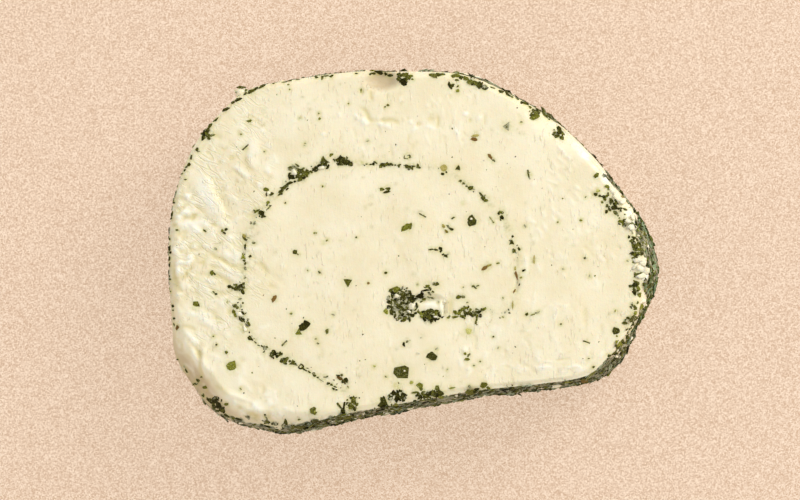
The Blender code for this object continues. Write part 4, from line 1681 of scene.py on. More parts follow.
def cheese_finish(name, marked):
    """Fresh cheese. A marked one also reads the stains and the crust written on its mesh."""
    material, tree, shader = new_material(name)
    place = in_millimetres(tree)
    curd = placed_use(tree, CURD, Place=place)
    colour = blend(tree, ramp(tree, curd["Mottle"], 0.3, 0.75), CHEESE, CHEESE_DEEP)
    height = curd["Height"]
    if marked:
        # marks blue is yellow painted shade in grooves; skin green is white smears and painted highlight
        stain, buried, groove_shade = channels(tree, painted(tree, "marks"))
        crusty, white, _ = channels(tree, painted(tree, "skin"))
        folded, edge_shade, _ = channels(tree, painted(tree, "zones"))
        broken = ramp(tree, grain(tree, place, 1.7, 3.0), 0.35, 0.65)
        folds = placed_use(tree, FOLDS, Place=place)
        groove = sums(tree, "MULTIPLY", folds["Groove"], folded)
        ridge = sums(tree, "MULTIPLY", folds["Ridge"], folded)
        height = sums(tree, "MULTIPLY_ADD", ridge, FOLD_HEIGHT, height)
        height = sums(tree, "MULTIPLY_ADD", groove, -FOLD_HEIGHT, height)
        stain = sums(tree, "MULTIPLY", stain, sums(tree, "MULTIPLY_ADD", broken, 0.6, 0.4))
        buried = sums(tree, "MULTIPLY", buried, sums(tree, "MULTIPLY_ADD", broken, 0.7, 0.3))
        crust = blend(tree, ramp(tree, grain(tree, place, 0.9, 4.0, 0.7), 0.45, 0.65), CRUST, SMEAR)
        # the edge's tan and the grooves' yellow are painted shade; the ridges' white is painted highlight,
        # with white smears
        for mask, layer in (
            (edge_shade, EDGE_SHADE_TAN),
            (sums(tree, "MULTIPLY", groove, FOLD_SHADE_STRENGTH), FOLD_GROOVE_SHADE),
            (sums(tree, "MULTIPLY", ridge, FOLD_HIGHLIGHT_STRENGTH), HIGHLIGHT_AND_SMEAR_WHITE),
            (white, HIGHLIGHT_AND_SMEAR_WHITE),
            (groove_shade, GROOVE_SHADE_YELLOW),
            (stain, STAIN),
            (buried, BURIED),
            (crusty, crust),
        ):
            colour = blend(tree, mask, colour, layer)
    colour = blend(tree, sums(tree, "MULTIPLY", curd["Specks"], SPECK_STRENGTH), colour, BURIED)
    waxy = ramp(tree, grain(tree, place, 0.5, 5.0), 0.3, 0.7, 0.38, 0.62)
    dress(tree, shader, colour, waxy, height, 0.8, BUMP_DEPTH)
    shader.inputs["Subsurface Weight"].default_value = 0.25
    shader.inputs["Subsurface Radius"].default_value = (1.0, 0.7, 0.4)
    shader.inputs["Subsurface Scale"].default_value = 0.0012
    shader.inputs["Specular IOR Level"].default_value = 0.4
    return material


CHEESE_CUT = cheese_finish("cheese_cut", True)
CHEESE_CRUMB = cheese_finish("cheese_crumb", False)


# %% The herbs
HERB_TONES = (
    (0.0, (0.010, 0.009, 0.001)),
    (0.15, (0.032, 0.029, 0.003)),
    (0.3, (0.074, 0.070, 0.008)),
    (0.45, (0.135, 0.134, 0.013)),
    (0.6, (0.220, 0.225, 0.022)),
    (0.75, (0.420, 0.415, 0.080)),
    (0.95, (0.680, 0.640, 0.220)),
)
BROWN = (0.3, 0.15, 0.045)
GLINT = (0.36, 0.37, 0.17)
FACE_FILM = (0.5, 0.48, 0.32)
COAT_FILM = (0.36, 0.4, 0.27)
# the wet right-hand end of the crust: from where to where in mm it turns greener, and by how much
GREENER_FROM, GREENER_TO = 43.0, 46.0
GREENER = (0.75, 0.92, 0.79)
# how far a leaf's fibres shift its tone, and the fibre value that leaves it as it is
FIBRE_SHIFT = 1.15
FIBRE_MIDDLE = 0.57 / 1.15
FIBRE_DEPTH = 0.0002
GLINT_STRENGTH = 0.6
MOST_VEIL = 0.85
COAT_SMEAR = 0.14


def build_leaf_tone():
    """Colour and height of a herb from its tone, its film of cheese and its warmth."""
    tree, given, made = new_group(
        "leaf_tone",
        {"Place": "Vector", "Flake": "Color", "Smear": "Float", "Film Colour": "Color"},
        {"Colour": "Color", "Height": "Float"},
    )
    place = given["Place"]
    dark, filmed, warm = channels(tree, given["Flake"])
    fibre = grain(tree, place, 3.4, 4.0, 0.7)
    shift = sums(tree, "MULTIPLY_ADD", fibre, FIBRE_SHIFT, -FIBRE_SHIFT * FIBRE_MIDDLE)
    tones = add(tree, "ShaderNodeValToRGB", Fac=sums(tree, "ADD", dark, shift, clamp=True))
    stops = tones.color_ramp.elements
    while len(stops) < len(HERB_TONES):
        stops.new(0.5)
    for stop, (where, colour) in zip(stops, HERB_TONES):
        stop.position = where
        stop.color = (*colour, 1.0)
    spark = ramp(tree, grain(tree, place, 4.6, 2.0, 0.6), 0.56, 0.68)
    glint = sums(tree, "MULTIPLY", sums(tree, "MULTIPLY", spark, GLINT_STRENGTH), ramp(tree, dark, 0.08, 0.3))
    colour = blend(tree, glint, tones.outputs["Color"], GLINT)
    colour = blend(tree, warm, colour, BROWN)
    bare = sums(tree, "SUBTRACT", 1.0, sums(tree, "ADD", filmed, given["Smear"]))
    lower = sums(tree, "MULTIPLY_ADD", bare, 0.55, 0.2)
    upper = sums(tree, "ADD", lower, 0.16)
    veil = sums(tree, "MULTIPLY", ramp(tree, grain(tree, place, 1.3, 3.0, 0.65), lower, upper), MOST_VEIL)
    feed(tree, made["Colour"], blend(tree, veil, colour, given["Film Colour"]))
    feed(tree, made["Height"], fibre)
    return tree


LEAF_TONE = build_leaf_tone()


def herb_finish(name, smear, film):
    """Chopped herbs, with more or less cheese smeared over them."""
    material, tree, shader = new_material(name)
    place = in_millimetres(tree)
    leaf = placed_use(tree, LEAF_TONE, Place=place, Flake=painted(tree, "flake"), Smear=smear,
                      Film_Colour=film)
    colour = leaf["Colour"]
    if smear:
        along = add(tree, "ShaderNodeSeparateXYZ", Vector=place).outputs["X"]
        colour = blend(tree, ramp(tree, along, GREENER_FROM, GREENER_TO), colour, GREENER, "MULTIPLY")
    dull = ramp(tree, leaf["Height"], 0.3, 0.7, 0.5, 0.75)
    dress(tree, shader, colour, dull, leaf["Height"], 0.7, FIBRE_DEPTH)
    shader.inputs["Specular IOR Level"].default_value = 0.06
    return material


HERBS_FACE = herb_finish("herbs_face", 0.0, FACE_FILM)
HERBS_COAT = herb_finish("herbs_coat", COAT_SMEAR, COAT_FILM)
print("finishes:", [m.name for m in bpy.data.materials])

# %% [markdown]
# ## Flakes on the cut face
#
# Each listed flake becomes a shape of its kind, laid where the camera sees it and left a little
# proud of the cheese. One that is nearly all under cheese isn't a solid at all: it is only a grey
# smudge, so it goes into a list of stains that the cheese's own colour reads.

# %% Lay the listed flakes
BURIED_FROM = 0.75
FLAKE_THICK = 0.32
FLAKE_SPREAD = 1.08
# from which tone on a warm bit is pale and stains the cheese
TOASTED_FROM = 0.65
rng = random.Random(21)
face_pile = Pile("flake")
stains = []


def note_stain(px, py, size, stain, buried):
    """Remembers a round stain on the cheese: place, radius in mm, strengths."""
    stains.append((*meet(px, py)[0], size, stain, buried))


def half_size(long, wide):
    """Half the middling size, in millimetres, of what is so many pixels long and wide."""
    return 0.5 * math.sqrt(long * wide) * PIXEL


def lay_flake(shape, px, py, long, wide, turn, tone, film, warm=0.0):
    """One flake of the list."""
    size = half_size(long, wide)
    if film >= BURIED_FROM:
        note_stain(px, py, size + 0.1, 0.3, 1.1 - film)
        return
    proud = rng.uniform(0.05, 0.1) * (1.2 - film)
    matrix = lay(px, py, long * FLAKE_SPREAD, wide * FLAKE_SPREAD, turn, FLAKE_THICK, proud, rng)
    face_pile.add(shape, matrix, (tone, film, warm, 1.0))
    note_stain(px, py, size + 0.3, 0.8, 0.2 * film)


for rows, shapes in ((CHIPS, LEAVES), (CORNERS, CORNER_PIECES), (STICKS, STALKS), (RINGS, CHIVES)):
    for row in rows:
        lay_flake(rng.choice(shapes), *row)
for px, py, long, wide, turn, tone in WARM_BITS:
    if tone > TOASTED_FROM:
        note_stain(px, py, half_size(long, wide) + 0.1, 0.5, 0.0)
        lay_flake(rng.choice(LEAVES), px, py, long, wide, turn, tone, 0.3, 0.4)
    else:
        lay_flake(rng.choice(LEAVES), px, py, long, wide, turn, 0.1 + tone * 0.5, 0.1, 0.6)
for px, py, long, wide, turn in PALE_BITS:
    note_stain(px, py, half_size(long, wide), 0.7, 0.0)
print(face_pile.count, "flakes laid,", len(stains), "stains")

# %% Crumble small bits into the clumps
BIT_LENGTHS = (2.0, 5.6)
BIT_WIDTHS = (0.4, 0.85)
BIT_THICK = 0.3
BIT_PROUD = (0.02, 0.16)
BIT_TILT = 9.0
FILM_SPREAD, MOST_FILM = 0.18, 0.72


def within(low, value, high):
    """A value kept between two limits."""
    return min(high, max(low, value))


def about(low, middle, spread, high):
    """A random value near a middle one, kept between two limits."""
    return within(low, rng.gauss(middle, spread), high)


def in_oval(px, py, half_x, half_y, turn, share=1.0):
    """A random pixel in an oval on the image, or in a share of it."""
    angle = math.radians(turn)
    way, away = rng.uniform(0.0, math.tau), math.sqrt(rng.random()) * share
    u, w = half_x * away * math.cos(way), half_y * away * math.sin(way)
    return (px + u * math.cos(angle) + w * math.sin(angle),
            py - u * math.sin(angle) + w * math.cos(angle))


def crumble(px, py, half_x, half_y, turn, count, darkest, palest, film, under):
    """Strews bits of herb in an oval on the image, and darkens the cheese under them."""
    for _ in range(int(count)):
        x, y = in_oval(px, py, half_x, half_y, turn)
        long = rng.uniform(*BIT_LENGTHS)
        matrix = lay(x, y, long, long * rng.uniform(*BIT_WIDTHS), rng.uniform(0, 180), BIT_THICK,
                     rng.uniform(*BIT_PROUD), rng, BIT_TILT)
        veil = about(0.0, film, FILM_SPREAD, MOST_FILM)
        face_pile.add(rng.choice(LEAVES), matrix, (rng.uniform(darkest, palest), veil, 0.0, 1.0))
    for _ in range(max(3, int(half_x * half_y / 5.0))):
        x, y = in_oval(px, py, half_x, half_y, turn, 0.8)
        note_stain(x, y, rng.uniform(0.3, 0.7), 0.5, under * rng.uniform(0.6, 1.0))


for row in CLUMPS:
    crumble(*row)
print(face_pile.count, "flakes with the clumps")

# %% Strew small ones along the seam and over the face
SEAM_BITS = 120
FACE_BITS = 70
SMUDGES = 120
SEAM_SPREAD = 0.3
SEAM_BIT_SIZES = (0.2, 0.65)
FACE_BIT_SIZES = (0.16, 0.42)
SMUDGE_SIZES, SMUDGE_STAIN, SMUDGE_DARKNESS = (0.15, 0.6), 0.22, (0.04, 0.22)
ABOVE_ALL = 60.0
DOWN = Vector((0.0, 0.0, -1.0))
# herbs seen through a thin skin of cheese: pixel, radius in millimetres, strength
GREY_PATCHES = (
    (248, 240, .7, .34), (252, 236, .6, .26), (246, 251, .5, .32), (193, 191, .8, .16), (189, 188, .4, .2),
    (196, 194, .4, .2), (247, 262, .5, .28), (245, 275, .5, .26), (318, 253, .5, .2), (505, 228, .5, .24),
    (519, 262, .5, .2), (520, 285, .5, .2),
)


def lay_at(pile, spot, normal, long, wide, thick, proud, tilt, tone, film, warm=0.0, shape=None):
    """One flake on a known place, turned at random."""
    up = (normal + any_way(rng) * tilt).normalized()
    along = up.orthogonal().normalized()
    along = Matrix.Rotation(rng.uniform(0.0, math.tau), 3, up) @ along
    matrix = seated_at(along * long, up.cross(along) * wide, up * thick, spot + normal * proud)
    pile.add(shape or rng.choice(LEAVES), matrix, (tone, film, warm, 1.0))


def down_on(x, y):
    """Place and outward direction on the cut face straight below a place given from its middle."""
    return cheese_tree.ray_cast(Vector((x, y, ABOVE_ALL)) + SHIFT, DOWN)[:2]


def anywhere(share):
    """Place and direction on a random part of the cut face, out to a share of its rim."""
    angle, away = rng.uniform(0.0, math.tau), math.sqrt(rng.random()) * share
    reach = float(rim_radius(angle)) * away
    return down_on(math.cos(angle) * reach, math.sin(angle) * reach)


for _ in range(SEAM_BITS):
    middle = SEAM_LINE[rng.randrange(len(SEAM_LINE))]
    x, y = middle[0] + rng.gauss(0.0, SEAM_SPREAD), middle[1] + rng.gauss(0.0, SEAM_SPREAD)
    size = rng.uniform(*SEAM_BIT_SIZES)
    spot, normal = down_on(x, y)
    lay_at(face_pile, spot, normal, size, size * rng.uniform(0.4, 0.9), 0.25, 0.03, 0.05,
           rng.uniform(0.08, 0.4), rng.uniform(0.0, 0.6))
for _ in range(FACE_BITS):
    spot, normal = anywhere(0.985)
    size = rng.uniform(*FACE_BIT_SIZES)
    lay_at(face_pile, spot, normal, size, size * rng.uniform(0.5, 0.9), 0.2, 0.03, 0.05,
           rng.uniform(0.2, 0.6), rng.uniform(0.0, 0.6))
for px, py, size, dark in GREY_PATCHES:
    note_stain(px, py, size, 0.1, dark)
for _ in range(SMUDGES):
    spot, _ = anywhere(0.97)
    stains.append((*spot, rng.uniform(*SMUDGE_SIZES), SMUDGE_STAIN, rng.uniform(*SMUDGE_DARKNESS)))
print(face_pile.count, "flakes on the face")

# %% [markdown]
# ## The crust of flakes on the side
#
# The side was rolled in herbs after the roll was made, so thousands of flakes lie on it at every
# lean, overlapping, with smeared cheese between them. They are strewn over the whole way round,
# also where the camera never looks. A few more stand at the rim, where they make the outline
# ragged.

# %% Strew the crust
COAT_FLAKES = 5200
RIM_FLAKES = 420
COAT_SHARES, RIM_SHARES = (0.02, 0.985), (0.93, 1.0)
# smallest, how fast larger ones grow rare, and largest, in millimetres
COAT_SIZES = (0.5, 0.62, 3.0)
# tone and film: the least, the middle, the spread and the most
COAT_TONES = (0.03, 0.3, 0.13, 0.62)
COAT_VEILS = (0.0, 0.32, 0.25, 0.85)
COAT_THICK, COAT_PROUD = (0.2, 0.34), (0.02, 0.2)
# how many flakes aren't brown, and how warm a brown one is
GREEN_SHARE, WARMTH = 0.98, 0.45
RIM_SHRINK = 0.6
STALKS_FROM, CHIVES_FROM = 0.87, 0.95
LEAST_HEIGHT = 0.03
# where the top of the side is bare cheese: degrees round it, the spread, how softly it ends in
# degrees, and the share of the height it starts at
BARE_TOPS = (
    (30, 7, 4, .64), (12.5, 2, 3, .85), (214, 7, 22, .62), (120, 40, 9, .86), (-19, 5, 6, .85),
)
BARE_WANDER = 0.16
# a share above 1, so that the crust reaches the rim wherever the top isn't bare
COVERED = 1.05
# along the far rim few herbs reach the top: from and to which direction, above which share, how many
THIN_RIM = (32.0, 150.0)
THIN_ABOVE = 0.84
THIN_KEPT = 0.22
# the near right-hand corner, where dark herbs lie between smears of clean cheese
CLEAN_CORNER = (-37.0, -19.0)
CLEAN_TONE, CLEAN_FILM = 0.4, 0.15
coat_pile = Pile("flake")


def bare_above(angle):
    """For directions in radians, the share of the side's height above which it is bare."""
    limit = np.full(len(angle), COVERED)
    for middle, spread, soft, start in BARE_TOPS:
        off = np.abs(degrees_off(angle, middle))
        limit = np.minimum(limit, start + (COVERED - start) * smooth_step((off - spread) / soft))
    ragged = noise_at(np.cos(angle) * 16.0, np.sin(angle) * 16.0, 6.0) - 0.5
    return np.where(limit < 1.0, limit + BARE_WANDER * ragged, limit)


def mostly_small(least, spread, most):
    """A random size, more often small than large."""
    return min(most, least + rng.expovariate(1.0 / spread))


def side_spot(share):
    """A random place round the side at a share of its height."""
    walk = rng.random() * RIM_WALK[-1]
    angle = float(np.interp(walk, RIM_WALK, RIM_TURNS))
    reach = float(side_reach(np.array([angle]), share)[0])
    top = float(face_height(*on_rim(np.array([angle])))[0])
    x, y = reach * math.cos(angle), reach * math.sin(angle)
    return Vector((x + SHIFT.x, y + SHIFT.y, top * share)), angle


RIM_TURNS = np.append(RIM_ANGLES, RIM_ANGLES[0] + math.tau)
RIM_LOOP = np.vstack((RIM_CURVE, RIM_CURVE[:1]))
RIM_WALK = np.concatenate(([0.0], np.cumsum(np.hypot(*np.diff(RIM_LOOP, axis=0).T))))

for number in range(COAT_FLAKES + RIM_FLAKES):
    at_rim = number >= COAT_FLAKES
    share = rng.uniform(*(RIM_SHARES if at_rim else COAT_SHARES))
    guess, angle = side_spot(share)
    if share > float(bare_above(np.array([angle]))[0]) + rng.gauss(0.0, 0.05):
        continue
    degrees = math.degrees(angle)
    if share > THIN_ABOVE and THIN_RIM[0] < degrees < THIN_RIM[1] and rng.random() > THIN_KEPT:
        continue
    spot, normal, _, _ = cheese_tree.find_nearest(guess)
    if at_rim:
        normal = (normal + Vector((math.cos(angle), math.sin(angle), 0.0))).normalized()
    size = mostly_small(*COAT_SIZES)
    if at_rim:
        size *= RIM_SHRINK
    kind = rng.random()
    shape = rng.choice(CHIVES if kind > CHIVES_FROM else STALKS if kind > STALKS_FROM else LEAVES)
    slim = 0.3 if STALKS_FROM < kind <= CHIVES_FROM else rng.uniform(0.5, 0.95)
    tone, film = about(*COAT_TONES), about(*COAT_VEILS)
    if CLEAN_CORNER[0] < degrees < CLEAN_CORNER[1]:
        tone, film = tone * CLEAN_TONE, film * CLEAN_FILM
    lay_at(coat_pile, spot, normal, size, size * slim, rng.uniform(*COAT_THICK), rng.uniform(*COAT_PROUD),
           0.2, tone, film, WARMTH if rng.random() > GREEN_SHARE else 0.0, shape)
print(coat_pile.count, "flakes on the side")

# %% [markdown]
# ## The back
#
# The slice lies on its other cut face. That one is never in the photograph, but it has the same
# seam right through the roll, so the same herbs show there, pressed flat.

# %% Flakes on the back
BACK_SEAM = 330
BACK_BITS = 130
BACK_SPREAD = 0.55
BACK_SHARE = 0.95
BACK_SEAM_SIZES, BACK_BIT_SIZES = (0.35, 0.5, 2.0), (0.25, 0.5, 2.2)
BELOW_ALL = -10.0
back_pile = Pile("flake")


def up_on(x, y):
    """Place on the back straight above a place given from the middle."""
    return cheese_tree.ray_cast(Vector((x, y, BELOW_ALL)) + SHIFT, -DOWN)[0]


for number in range(BACK_SEAM + BACK_BITS):
    if number < BACK_SEAM:
        middle = SEAM_LINE[rng.randrange(len(SEAM_LINE))] * 0.97
        x, y = middle[0] + rng.gauss(0.0, BACK_SPREAD), middle[1] + rng.gauss(0.0, BACK_SPREAD)
        size = mostly_small(*BACK_SEAM_SIZES)
    else:
        angle, away = rng.uniform(0.0, math.tau), math.sqrt(rng.random()) * BACK_SHARE
        reach = float(side_reach(np.array([angle]), 0.0)[0]) * away
        x, y = math.cos(angle) * reach, math.sin(angle) * reach
        size = mostly_small(*BACK_BIT_SIZES)
    spot = up_on(x, y)
    lay_at(back_pile, spot, DOWN, size, size * rng.uniform(0.4, 0.9), 0.25, 0.02, 0.01,
           rng.uniform(0.08, 0.5), rng.uniform(0.0, 0.5))
    stains.append((*spot, size * 0.5 + 0.3, 0.3, 0.1))
print(back_pile.count, "flakes on the back")

# %% [markdown]
# ## Crumbs of cheese
#
# Where the roll came apart at its core and along the crust, small lumps of cheese sit among the
# herbs. They are little balls pulled out of round by noise and pressed down.

# %% Crumb shapes and places
def crumb(seed):
    """A lump of cheese one unit across, a little flattened."""
    bm = bmesh.new()
    made = bmesh.ops.create_icosphere(bm, subdivisions=2, radius=0.5)["verts"]
    for v in made:
        push = 1.0 + 0.8 * noise.noise(v.co * 3.1 + Vector((seed * 7.3, 0.0, 0.0)))
        v.co *= push
    bmesh.ops.smooth_vert(
        bm, verts=bm.verts[:], factor=0.3, use_axis_x=True, use_axis_y=True, use_axis_z=True
    )
    return as_mesh(bm, f"crumb_{seed}")


CRUMB_SHAPES = [crumb(k) for k in range(7)]
SIDE_CRUMBS = 130
SIDE_CRUMB_SIZES = (0.4, 0.6, 2.6)
CORNER_CRUMBS = 1500
CORNER_CRUMB_SIZES = (0.5, 1.5)
crumb_pile = Pile("flake")
for px, py, long, wide, turn, proud in CRUMBS:
    matrix = lay(px, py, long, wide, turn, 2.0 * proud + 0.35, proud * 0.3, rng)
    crumb_pile.add(rng.choice(CRUMB_SHAPES), matrix, (0.0, 0.0, 0.0, 1.0))
for _ in range(SIDE_CRUMBS):
    guess, _ = side_spot(rng.uniform(0.04, 0.98))
    spot, normal, _, _ = cheese_tree.find_nearest(guess)
    size = mostly_small(*SIDE_CRUMB_SIZES)
    lay_at(crumb_pile, spot, normal, size, size * rng.uniform(0.25, 0.8), rng.uniform(0.3, 0.6),
           rng.uniform(0.0, 0.12), 0.1, 0.0, 0.0, 0.0, rng.choice(CRUMB_SHAPES))
for _ in range(CORNER_CRUMBS):
    guess, angle = side_spot(rng.uniform(0.5, 0.98))
    if CLEAN_CORNER[0] < math.degrees(angle) < CLEAN_CORNER[1]:
        spot, normal, _, _ = cheese_tree.find_nearest(guess)
        size = rng.uniform(*CORNER_CRUMB_SIZES)
        lay_at(crumb_pile, spot, normal, size, size * rng.uniform(0.3, 0.7), rng.uniform(0.4, 0.6),
               rng.uniform(0.05, 0.2), 0.1, 0.0, 0.0, 0.0, rng.choice(CRUMB_SHAPES))
print(crumb_pile.count, "crumbs")

# %% The flap that stands off the rim at the upper left
FLAP_DEPTH = 1.4
# its lumps of cheese and its herbs: pixel, length and width in pixels, degrees, then tone, film, warmth
FLAP_LUMPS = ((241.0, 93.0, 12.0, 12.0, 0.0), (245.0, 95.0, 8.0, 8.0, 0.0))
FLAP_HERBS = (
    (241.5, 87.2, 12.5, 3.6, 0, .32, .1, 0), (246.5, 90.5, 5, 3, -45, .42, .2, 0),
    (236, 92, 3, 1.6, 80, .4, .4, 0), (239, 97.5, 4.5, 3.6, 20, .6, .3, .4),
    (245.5, 93.8, 4, 3, 0, .15, .2, 0), (241, 100, 6, 3, 50, .25, .1, 0),
)


def off_rim(px, py, depth):
    """A place beside the rim that the camera sees at a pixel, a depth under the top, facing up."""
    ray = ray_through(px, py)
    return EYE + ray * ((THICKNESS - depth - EYE.z) / ray.z), -DOWN


for px, py, long, wide, turn in FLAP_LUMPS:
    matrix = lay(px, py, long, wide, turn, 2.0, 0.0, rng, 4.0, off_rim(px, py, FLAP_DEPTH + 0.8))
    crumb_pile.add(rng.choice(CRUMB_SHAPES), matrix, (0.0, 0.0, 0.0, 1.0))
for px, py, long, wide, turn, tone, film, warm in FLAP_HERBS:
    matrix = lay(px, py, long, wide, turn, 0.3, 0.0, rng, 4.0, off_rim(px, py, FLAP_DEPTH))
    face_pile.add(rng.choice(LEAVES), matrix, (tone, film, warm, 1.0))

# %% [markdown]
# ## Stains and crust written on the cheese
#
# Three colour attributes carry what has a place. Red, green and blue of marks are stains, herbs
# under the surface and yellow painted shade in grooves. Red and green of skin are crust, and white
# smears with painted highlight, and those of zones are where the folds are and the tan painted shade
# of the fallen edge and the notch. The stains are blurred spots round each flake, which soak in as real ones
# do.

# %% Write the marks
SEAM_TINT = 0.26
# painted shade, tan, where the fallen edge faces away from the light: degrees round it, the spread,
# how far below the top it starts, how much deeper it is full, and its greatest strength
SHADED_FALLS = ((212.0, 15.0, 0.7, 2.6, 1.0), (186.0, 12.0, 0.9, 1.5, 0.6), (232.0, 8.0, 0.8, 2.2, 0.2))
# painted shade, tan, in the hollow of the notch in the top rim: pixel and half sizes in millimetres
SHADED_NOTCH = ((381.0, 80.0), 3.6, 2.2)
# where the crust comes on to the face at the right: pixels along its border, from the top down
CRUST_BORDER = (
    (640, 225), (637, 230), (636, 235), (638, 242), (642, 249), (645, 255), (646.5, 262), (648.5, 270),
    (650.5, 276), (648, 280), (643.5, 284), (642, 291), (643.5, 297), (646, 302), (645, 309),
)
BORDER_WANDER = 0.5
# crust smeared over the fallen edge at the lower left: degrees round it, and how wide in millimetres
CRUST_BAND = (
    (214, 0), (221, 1), (228, .8), (235, 1.5), (243, 1.5), (250, .9), (256, 0),
)
# the folds lie left of one line and above another, in millimetres from the face's middle
FOLDS_LEFT_OF = -24.0
FOLDS_ABOVE = -22.0
SEAM_STAIN = 0.45
STAIN_SPREAD = 1.25


def spread_stains(places):
    """How strongly each place is stained, and how dark herbs under it make it."""
    stain, buried = np.zeros(len(places)), np.zeros(len(places))
    order = np.argsort(places[:, 0])
    sorted_x = places[order, 0]
    for x, y, z, size, strength, dark in stains:
        soft = size * STAIN_SPREAD
        low, high = np.searchsorted(sorted_x, (x - 2.4 * soft, x + 2.4 * soft))
        near = order[low:high]
        away = np.linalg.norm(places[near] - (x, y, z), axis=1)
        spot = np.exp(-((away / soft) ** 2) * 1.4)
        stain[near] = np.maximum(stain[near], spot * strength)
        buried[near] = np.maximum(buried[near], spot * dark)
    return stain, buried


def crust_over(fx, fy, fz, angle):
    """Where the side's crust is, where it comes on to the face, and where it is smeared there."""
    top = face_height(*on_rim(angle))
    inset = rim_radius(angle) - np.hypot(fx, fy)
    upper = fz > 0.5 * THICKNESS
    crust = smooth_step((top - 0.25 - fz) / 0.5) * smooth_step((1.0 - inset) / 0.6)
    limit = bare_above(angle) + 0.12 * (noise_at(fx / 1.2, fy / 1.2, fz / 1.2) - 0.5)
    crust *= 1.0 - smooth_step((fz / top - limit + 0.04) / 0.06)
    border = np.array([on_face(*pixel) for pixel in CRUST_BORDER])
    edge = np.interp(-fy, -border[:, 1], border[:, 0])
    ragged = BORDER_WANDER * (noise_at(fx / 0.7, fy / 0.7, 4.0) - 0.5)
    beside = (fy < border[0, 1]) & (fy > border[-1, 1]) & upper
    crust = np.maximum(crust, smooth_step((fx - edge + ragged) / 0.3 + 0.5) * beside)
    width = np.interp(np.degrees(angle) % 360.0, *np.array(CRUST_BAND).T)
    uneven = 0.4 + 1.2 * noise_at(fx / 1.5, fy / 1.5, 7.0)
    return np.maximum(crust, smooth_step((width * uneven - inset) / 0.4) * (width > 0.05) * upper)


def painted_shade_over(fx, fy, fz, angle):
    """Painted shade, tan: on the fallen edge where it faces away from the light, and in the notch in the top
    rim.
    """
    shade = np.zeros(len(fx))
    for middle, spread, start, depth, most in SHADED_FALLS:
        fallen = smooth_step((THICKNESS - start - fz) / depth)
        shade = np.maximum(shade, most * fallen * bell(degrees_off(angle, middle), spread))
    pixel, wide, tall = SHADED_NOTCH
    notch = on_face(*pixel)
    far = np.hypot((fx - notch[0]) / wide, (fy - notch[1]) / tall)
    return np.maximum(shade, 0.8 * smooth_step(1.6 - 1.2 * far))


def write_marks(bm):
    """Writes the three colour attributes on the cheese's mesh."""
    places = np.array([v.co for v in bm.verts])
    # the tint: white smears and painted highlight above 0, yellow painted shade in grooves below 0
    light_and_shade_tint = bm.verts.layers.float["light_and_shade_tint"]
    tint = np.array([v[light_and_shade_tint] for v in bm.verts])
    fx, fy, fz = places[:, 0] - SHIFT.x, places[:, 1] - SHIFT.y, places[:, 2]
    angle = np.arctan2(fy, fx)
    stain, buried = spread_stains(places)
    off, _ = beside_line(fx, fy, SEAM_LINE)
    wander = 0.5 + noise_at(fx / 1.6, fy / 1.6, 2.0)
    buried = np.maximum(buried, SEAM_TINT * bell(off, 0.5) * np.clip(wander, 0.0, 1.0))
    stain = np.maximum(stain, SEAM_STAIN * bell(off, 1.3) * np.clip(wander, 0.2, 1.0))
    crust = crust_over(fx, fy, fz, angle)
    shade = painted_shade_over(fx, fy, fz, angle)
    folds = smooth_step((FOLDS_LEFT_OF - fx) / 9.0) * smooth_step(fz / 6.0)
    folds *= smooth_step((fy - FOLDS_ABOVE) / 6.0)
    near_top = smooth_step((fz - THICKNESS + 6.0) / 3.0)
    # painted shade in grooves, yellow, and smears with painted highlight on ridges, white
    groove_shade = np.clip(-tint, 0.0, 1.0) * 0.8 * near_top
    white = np.clip(tint, 0.0, 1.0) * near_top
    none = np.zeros(len(fx))
    for name, values in (
        ("marks", (stain, buried, groove_shade)), ("skin", (crust, white, none)), ("zones", (folds, shade, none))
    ):
        layer = bm.verts.layers.float_color[name]
        for v, colour in zip(bm.verts, zip(*values)):
            v[layer] = (*colour, 1.0)


write_marks(cheese_bm)
cheese = make_piece(cheese_bm, "cheese", CHEESE_CUT, True)

# %% Keep every flake above the table, and make the pieces
MOST_ABOVE_PART = 0.3
HIGHEST = cad_high.z / MM + MOST_ABOVE_PART


def keep_between(bm, low, high):
    """Presses flat what would go through the table or stand too high."""
    for v in bm.verts:
        v.co.z = within(low, v.co.z, high)


for pile in (face_pile, coat_pile, back_pile, crumb_pile):
    pile.join()
    keep_between(pile.whole, LEAST_HEIGHT, HIGHEST)
face_flakes = face_pile.piece("face_flakes", HERBS_FACE)
coat_flakes = coat_pile.piece("coat_flakes", HERBS_COAT)
back_flakes = back_pile.piece("back_flakes", HERBS_FACE)
crumbs = crumb_pile.piece("crumbs", CHEESE_CRUMB, True)

# %% [markdown]
# ## Floor and light
#
# The photograph is lit softly from all round with a little more from the upper right, so the
# knife marks show without hard shadows. A bright even world does the first and a large lamp the
# second.

# %% Floor
FLOOR_SIZE = 1.6
FLOOR_GRAIN = 0.22
FLOOR = (0.97, 0.775, 0.605)
FLOOR_DARK = (0.64, 0.43, 0.285)
FLOOR_ALBEDO = 0.27
FLOOR_GLOW = 0.78


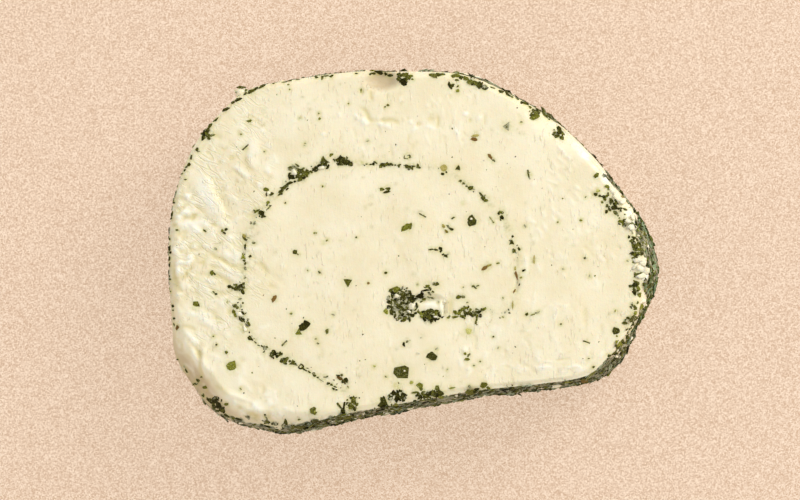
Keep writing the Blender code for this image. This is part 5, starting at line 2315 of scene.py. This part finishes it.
def build_floor():
    """A plain pale table top that also glows, so the shadow under the slice stays faint."""
    bm = bmesh.new()
    bmesh.ops.create_grid(bm, x_segments=1, y_segments=1, size=FLOOR_SIZE)
    mesh = as_mesh(bm, "floor")
    material, tree, shader = new_material("floor")
    cells = add(tree, "ShaderNodeTexVoronoi", Vector=in_millimetres(tree), Scale=1.0 / FLOOR_GRAIN)
    colour = blend(tree, channels(tree, cells.outputs["Color"])[0], FLOOR_DARK, FLOOR)
    feed(tree, shader.inputs["Base Color"], blend(tree, 1.0, colour, (FLOOR_ALBEDO,) * 3, "MULTIPLY"))
    feed(tree, shader.inputs["Emission Color"], colour)
    shader.inputs["Emission Strength"].default_value = FLOOR_GLOW
    shader.inputs["Roughness"].default_value = 0.8
    shader.inputs["Specular IOR Level"].default_value = 0.2
    mesh.materials.append(material)
    return put_in_scene("floor", mesh)


floor = build_floor()

# %% Light
WORLD_STRENGTH = 0.77
WORLD_COLOUR = (1.0, 0.985, 0.96)
KEY_FROM = Vector((0.66, 0.5, 0.46))
KEY_SIZE = 0.4
KEY_POWER = 5.6

world = bpy.data.worlds.new("world")
bpy.context.scene.world = world
world.use_nodes = True
sky = world.node_tree.nodes["Background"]
sky.inputs["Color"].default_value = (*WORLD_COLOUR, 1.0)
sky.inputs["Strength"].default_value = WORLD_STRENGTH
key_data = bpy.data.lights.new("key", "AREA")
key_data.size = KEY_SIZE
key_data.energy = KEY_POWER
key = put_in_scene("key", key_data)
key.matrix_world = Matrix.Translation(KEY_FROM) @ KEY_FROM.to_track_quat("Z", "Y").to_matrix().to_4x4()
bpy.context.scene.view_settings.view_transform = "Standard"
print("lit")

# %% [markdown]
# ## The pieces on the part's body
#
# Every piece rides on the part's one body, and the part's own meshes for the cheese and the seam are hidden.

# %% Finish
for piece in (cheese, crumbs, face_flakes, coat_flakes, back_flakes):
    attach(piece, "root")
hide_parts("cream_cheese")
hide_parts("cream_cheese")
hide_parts("cream_cheese")
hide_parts("herb_seam")
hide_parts("herb_seam")
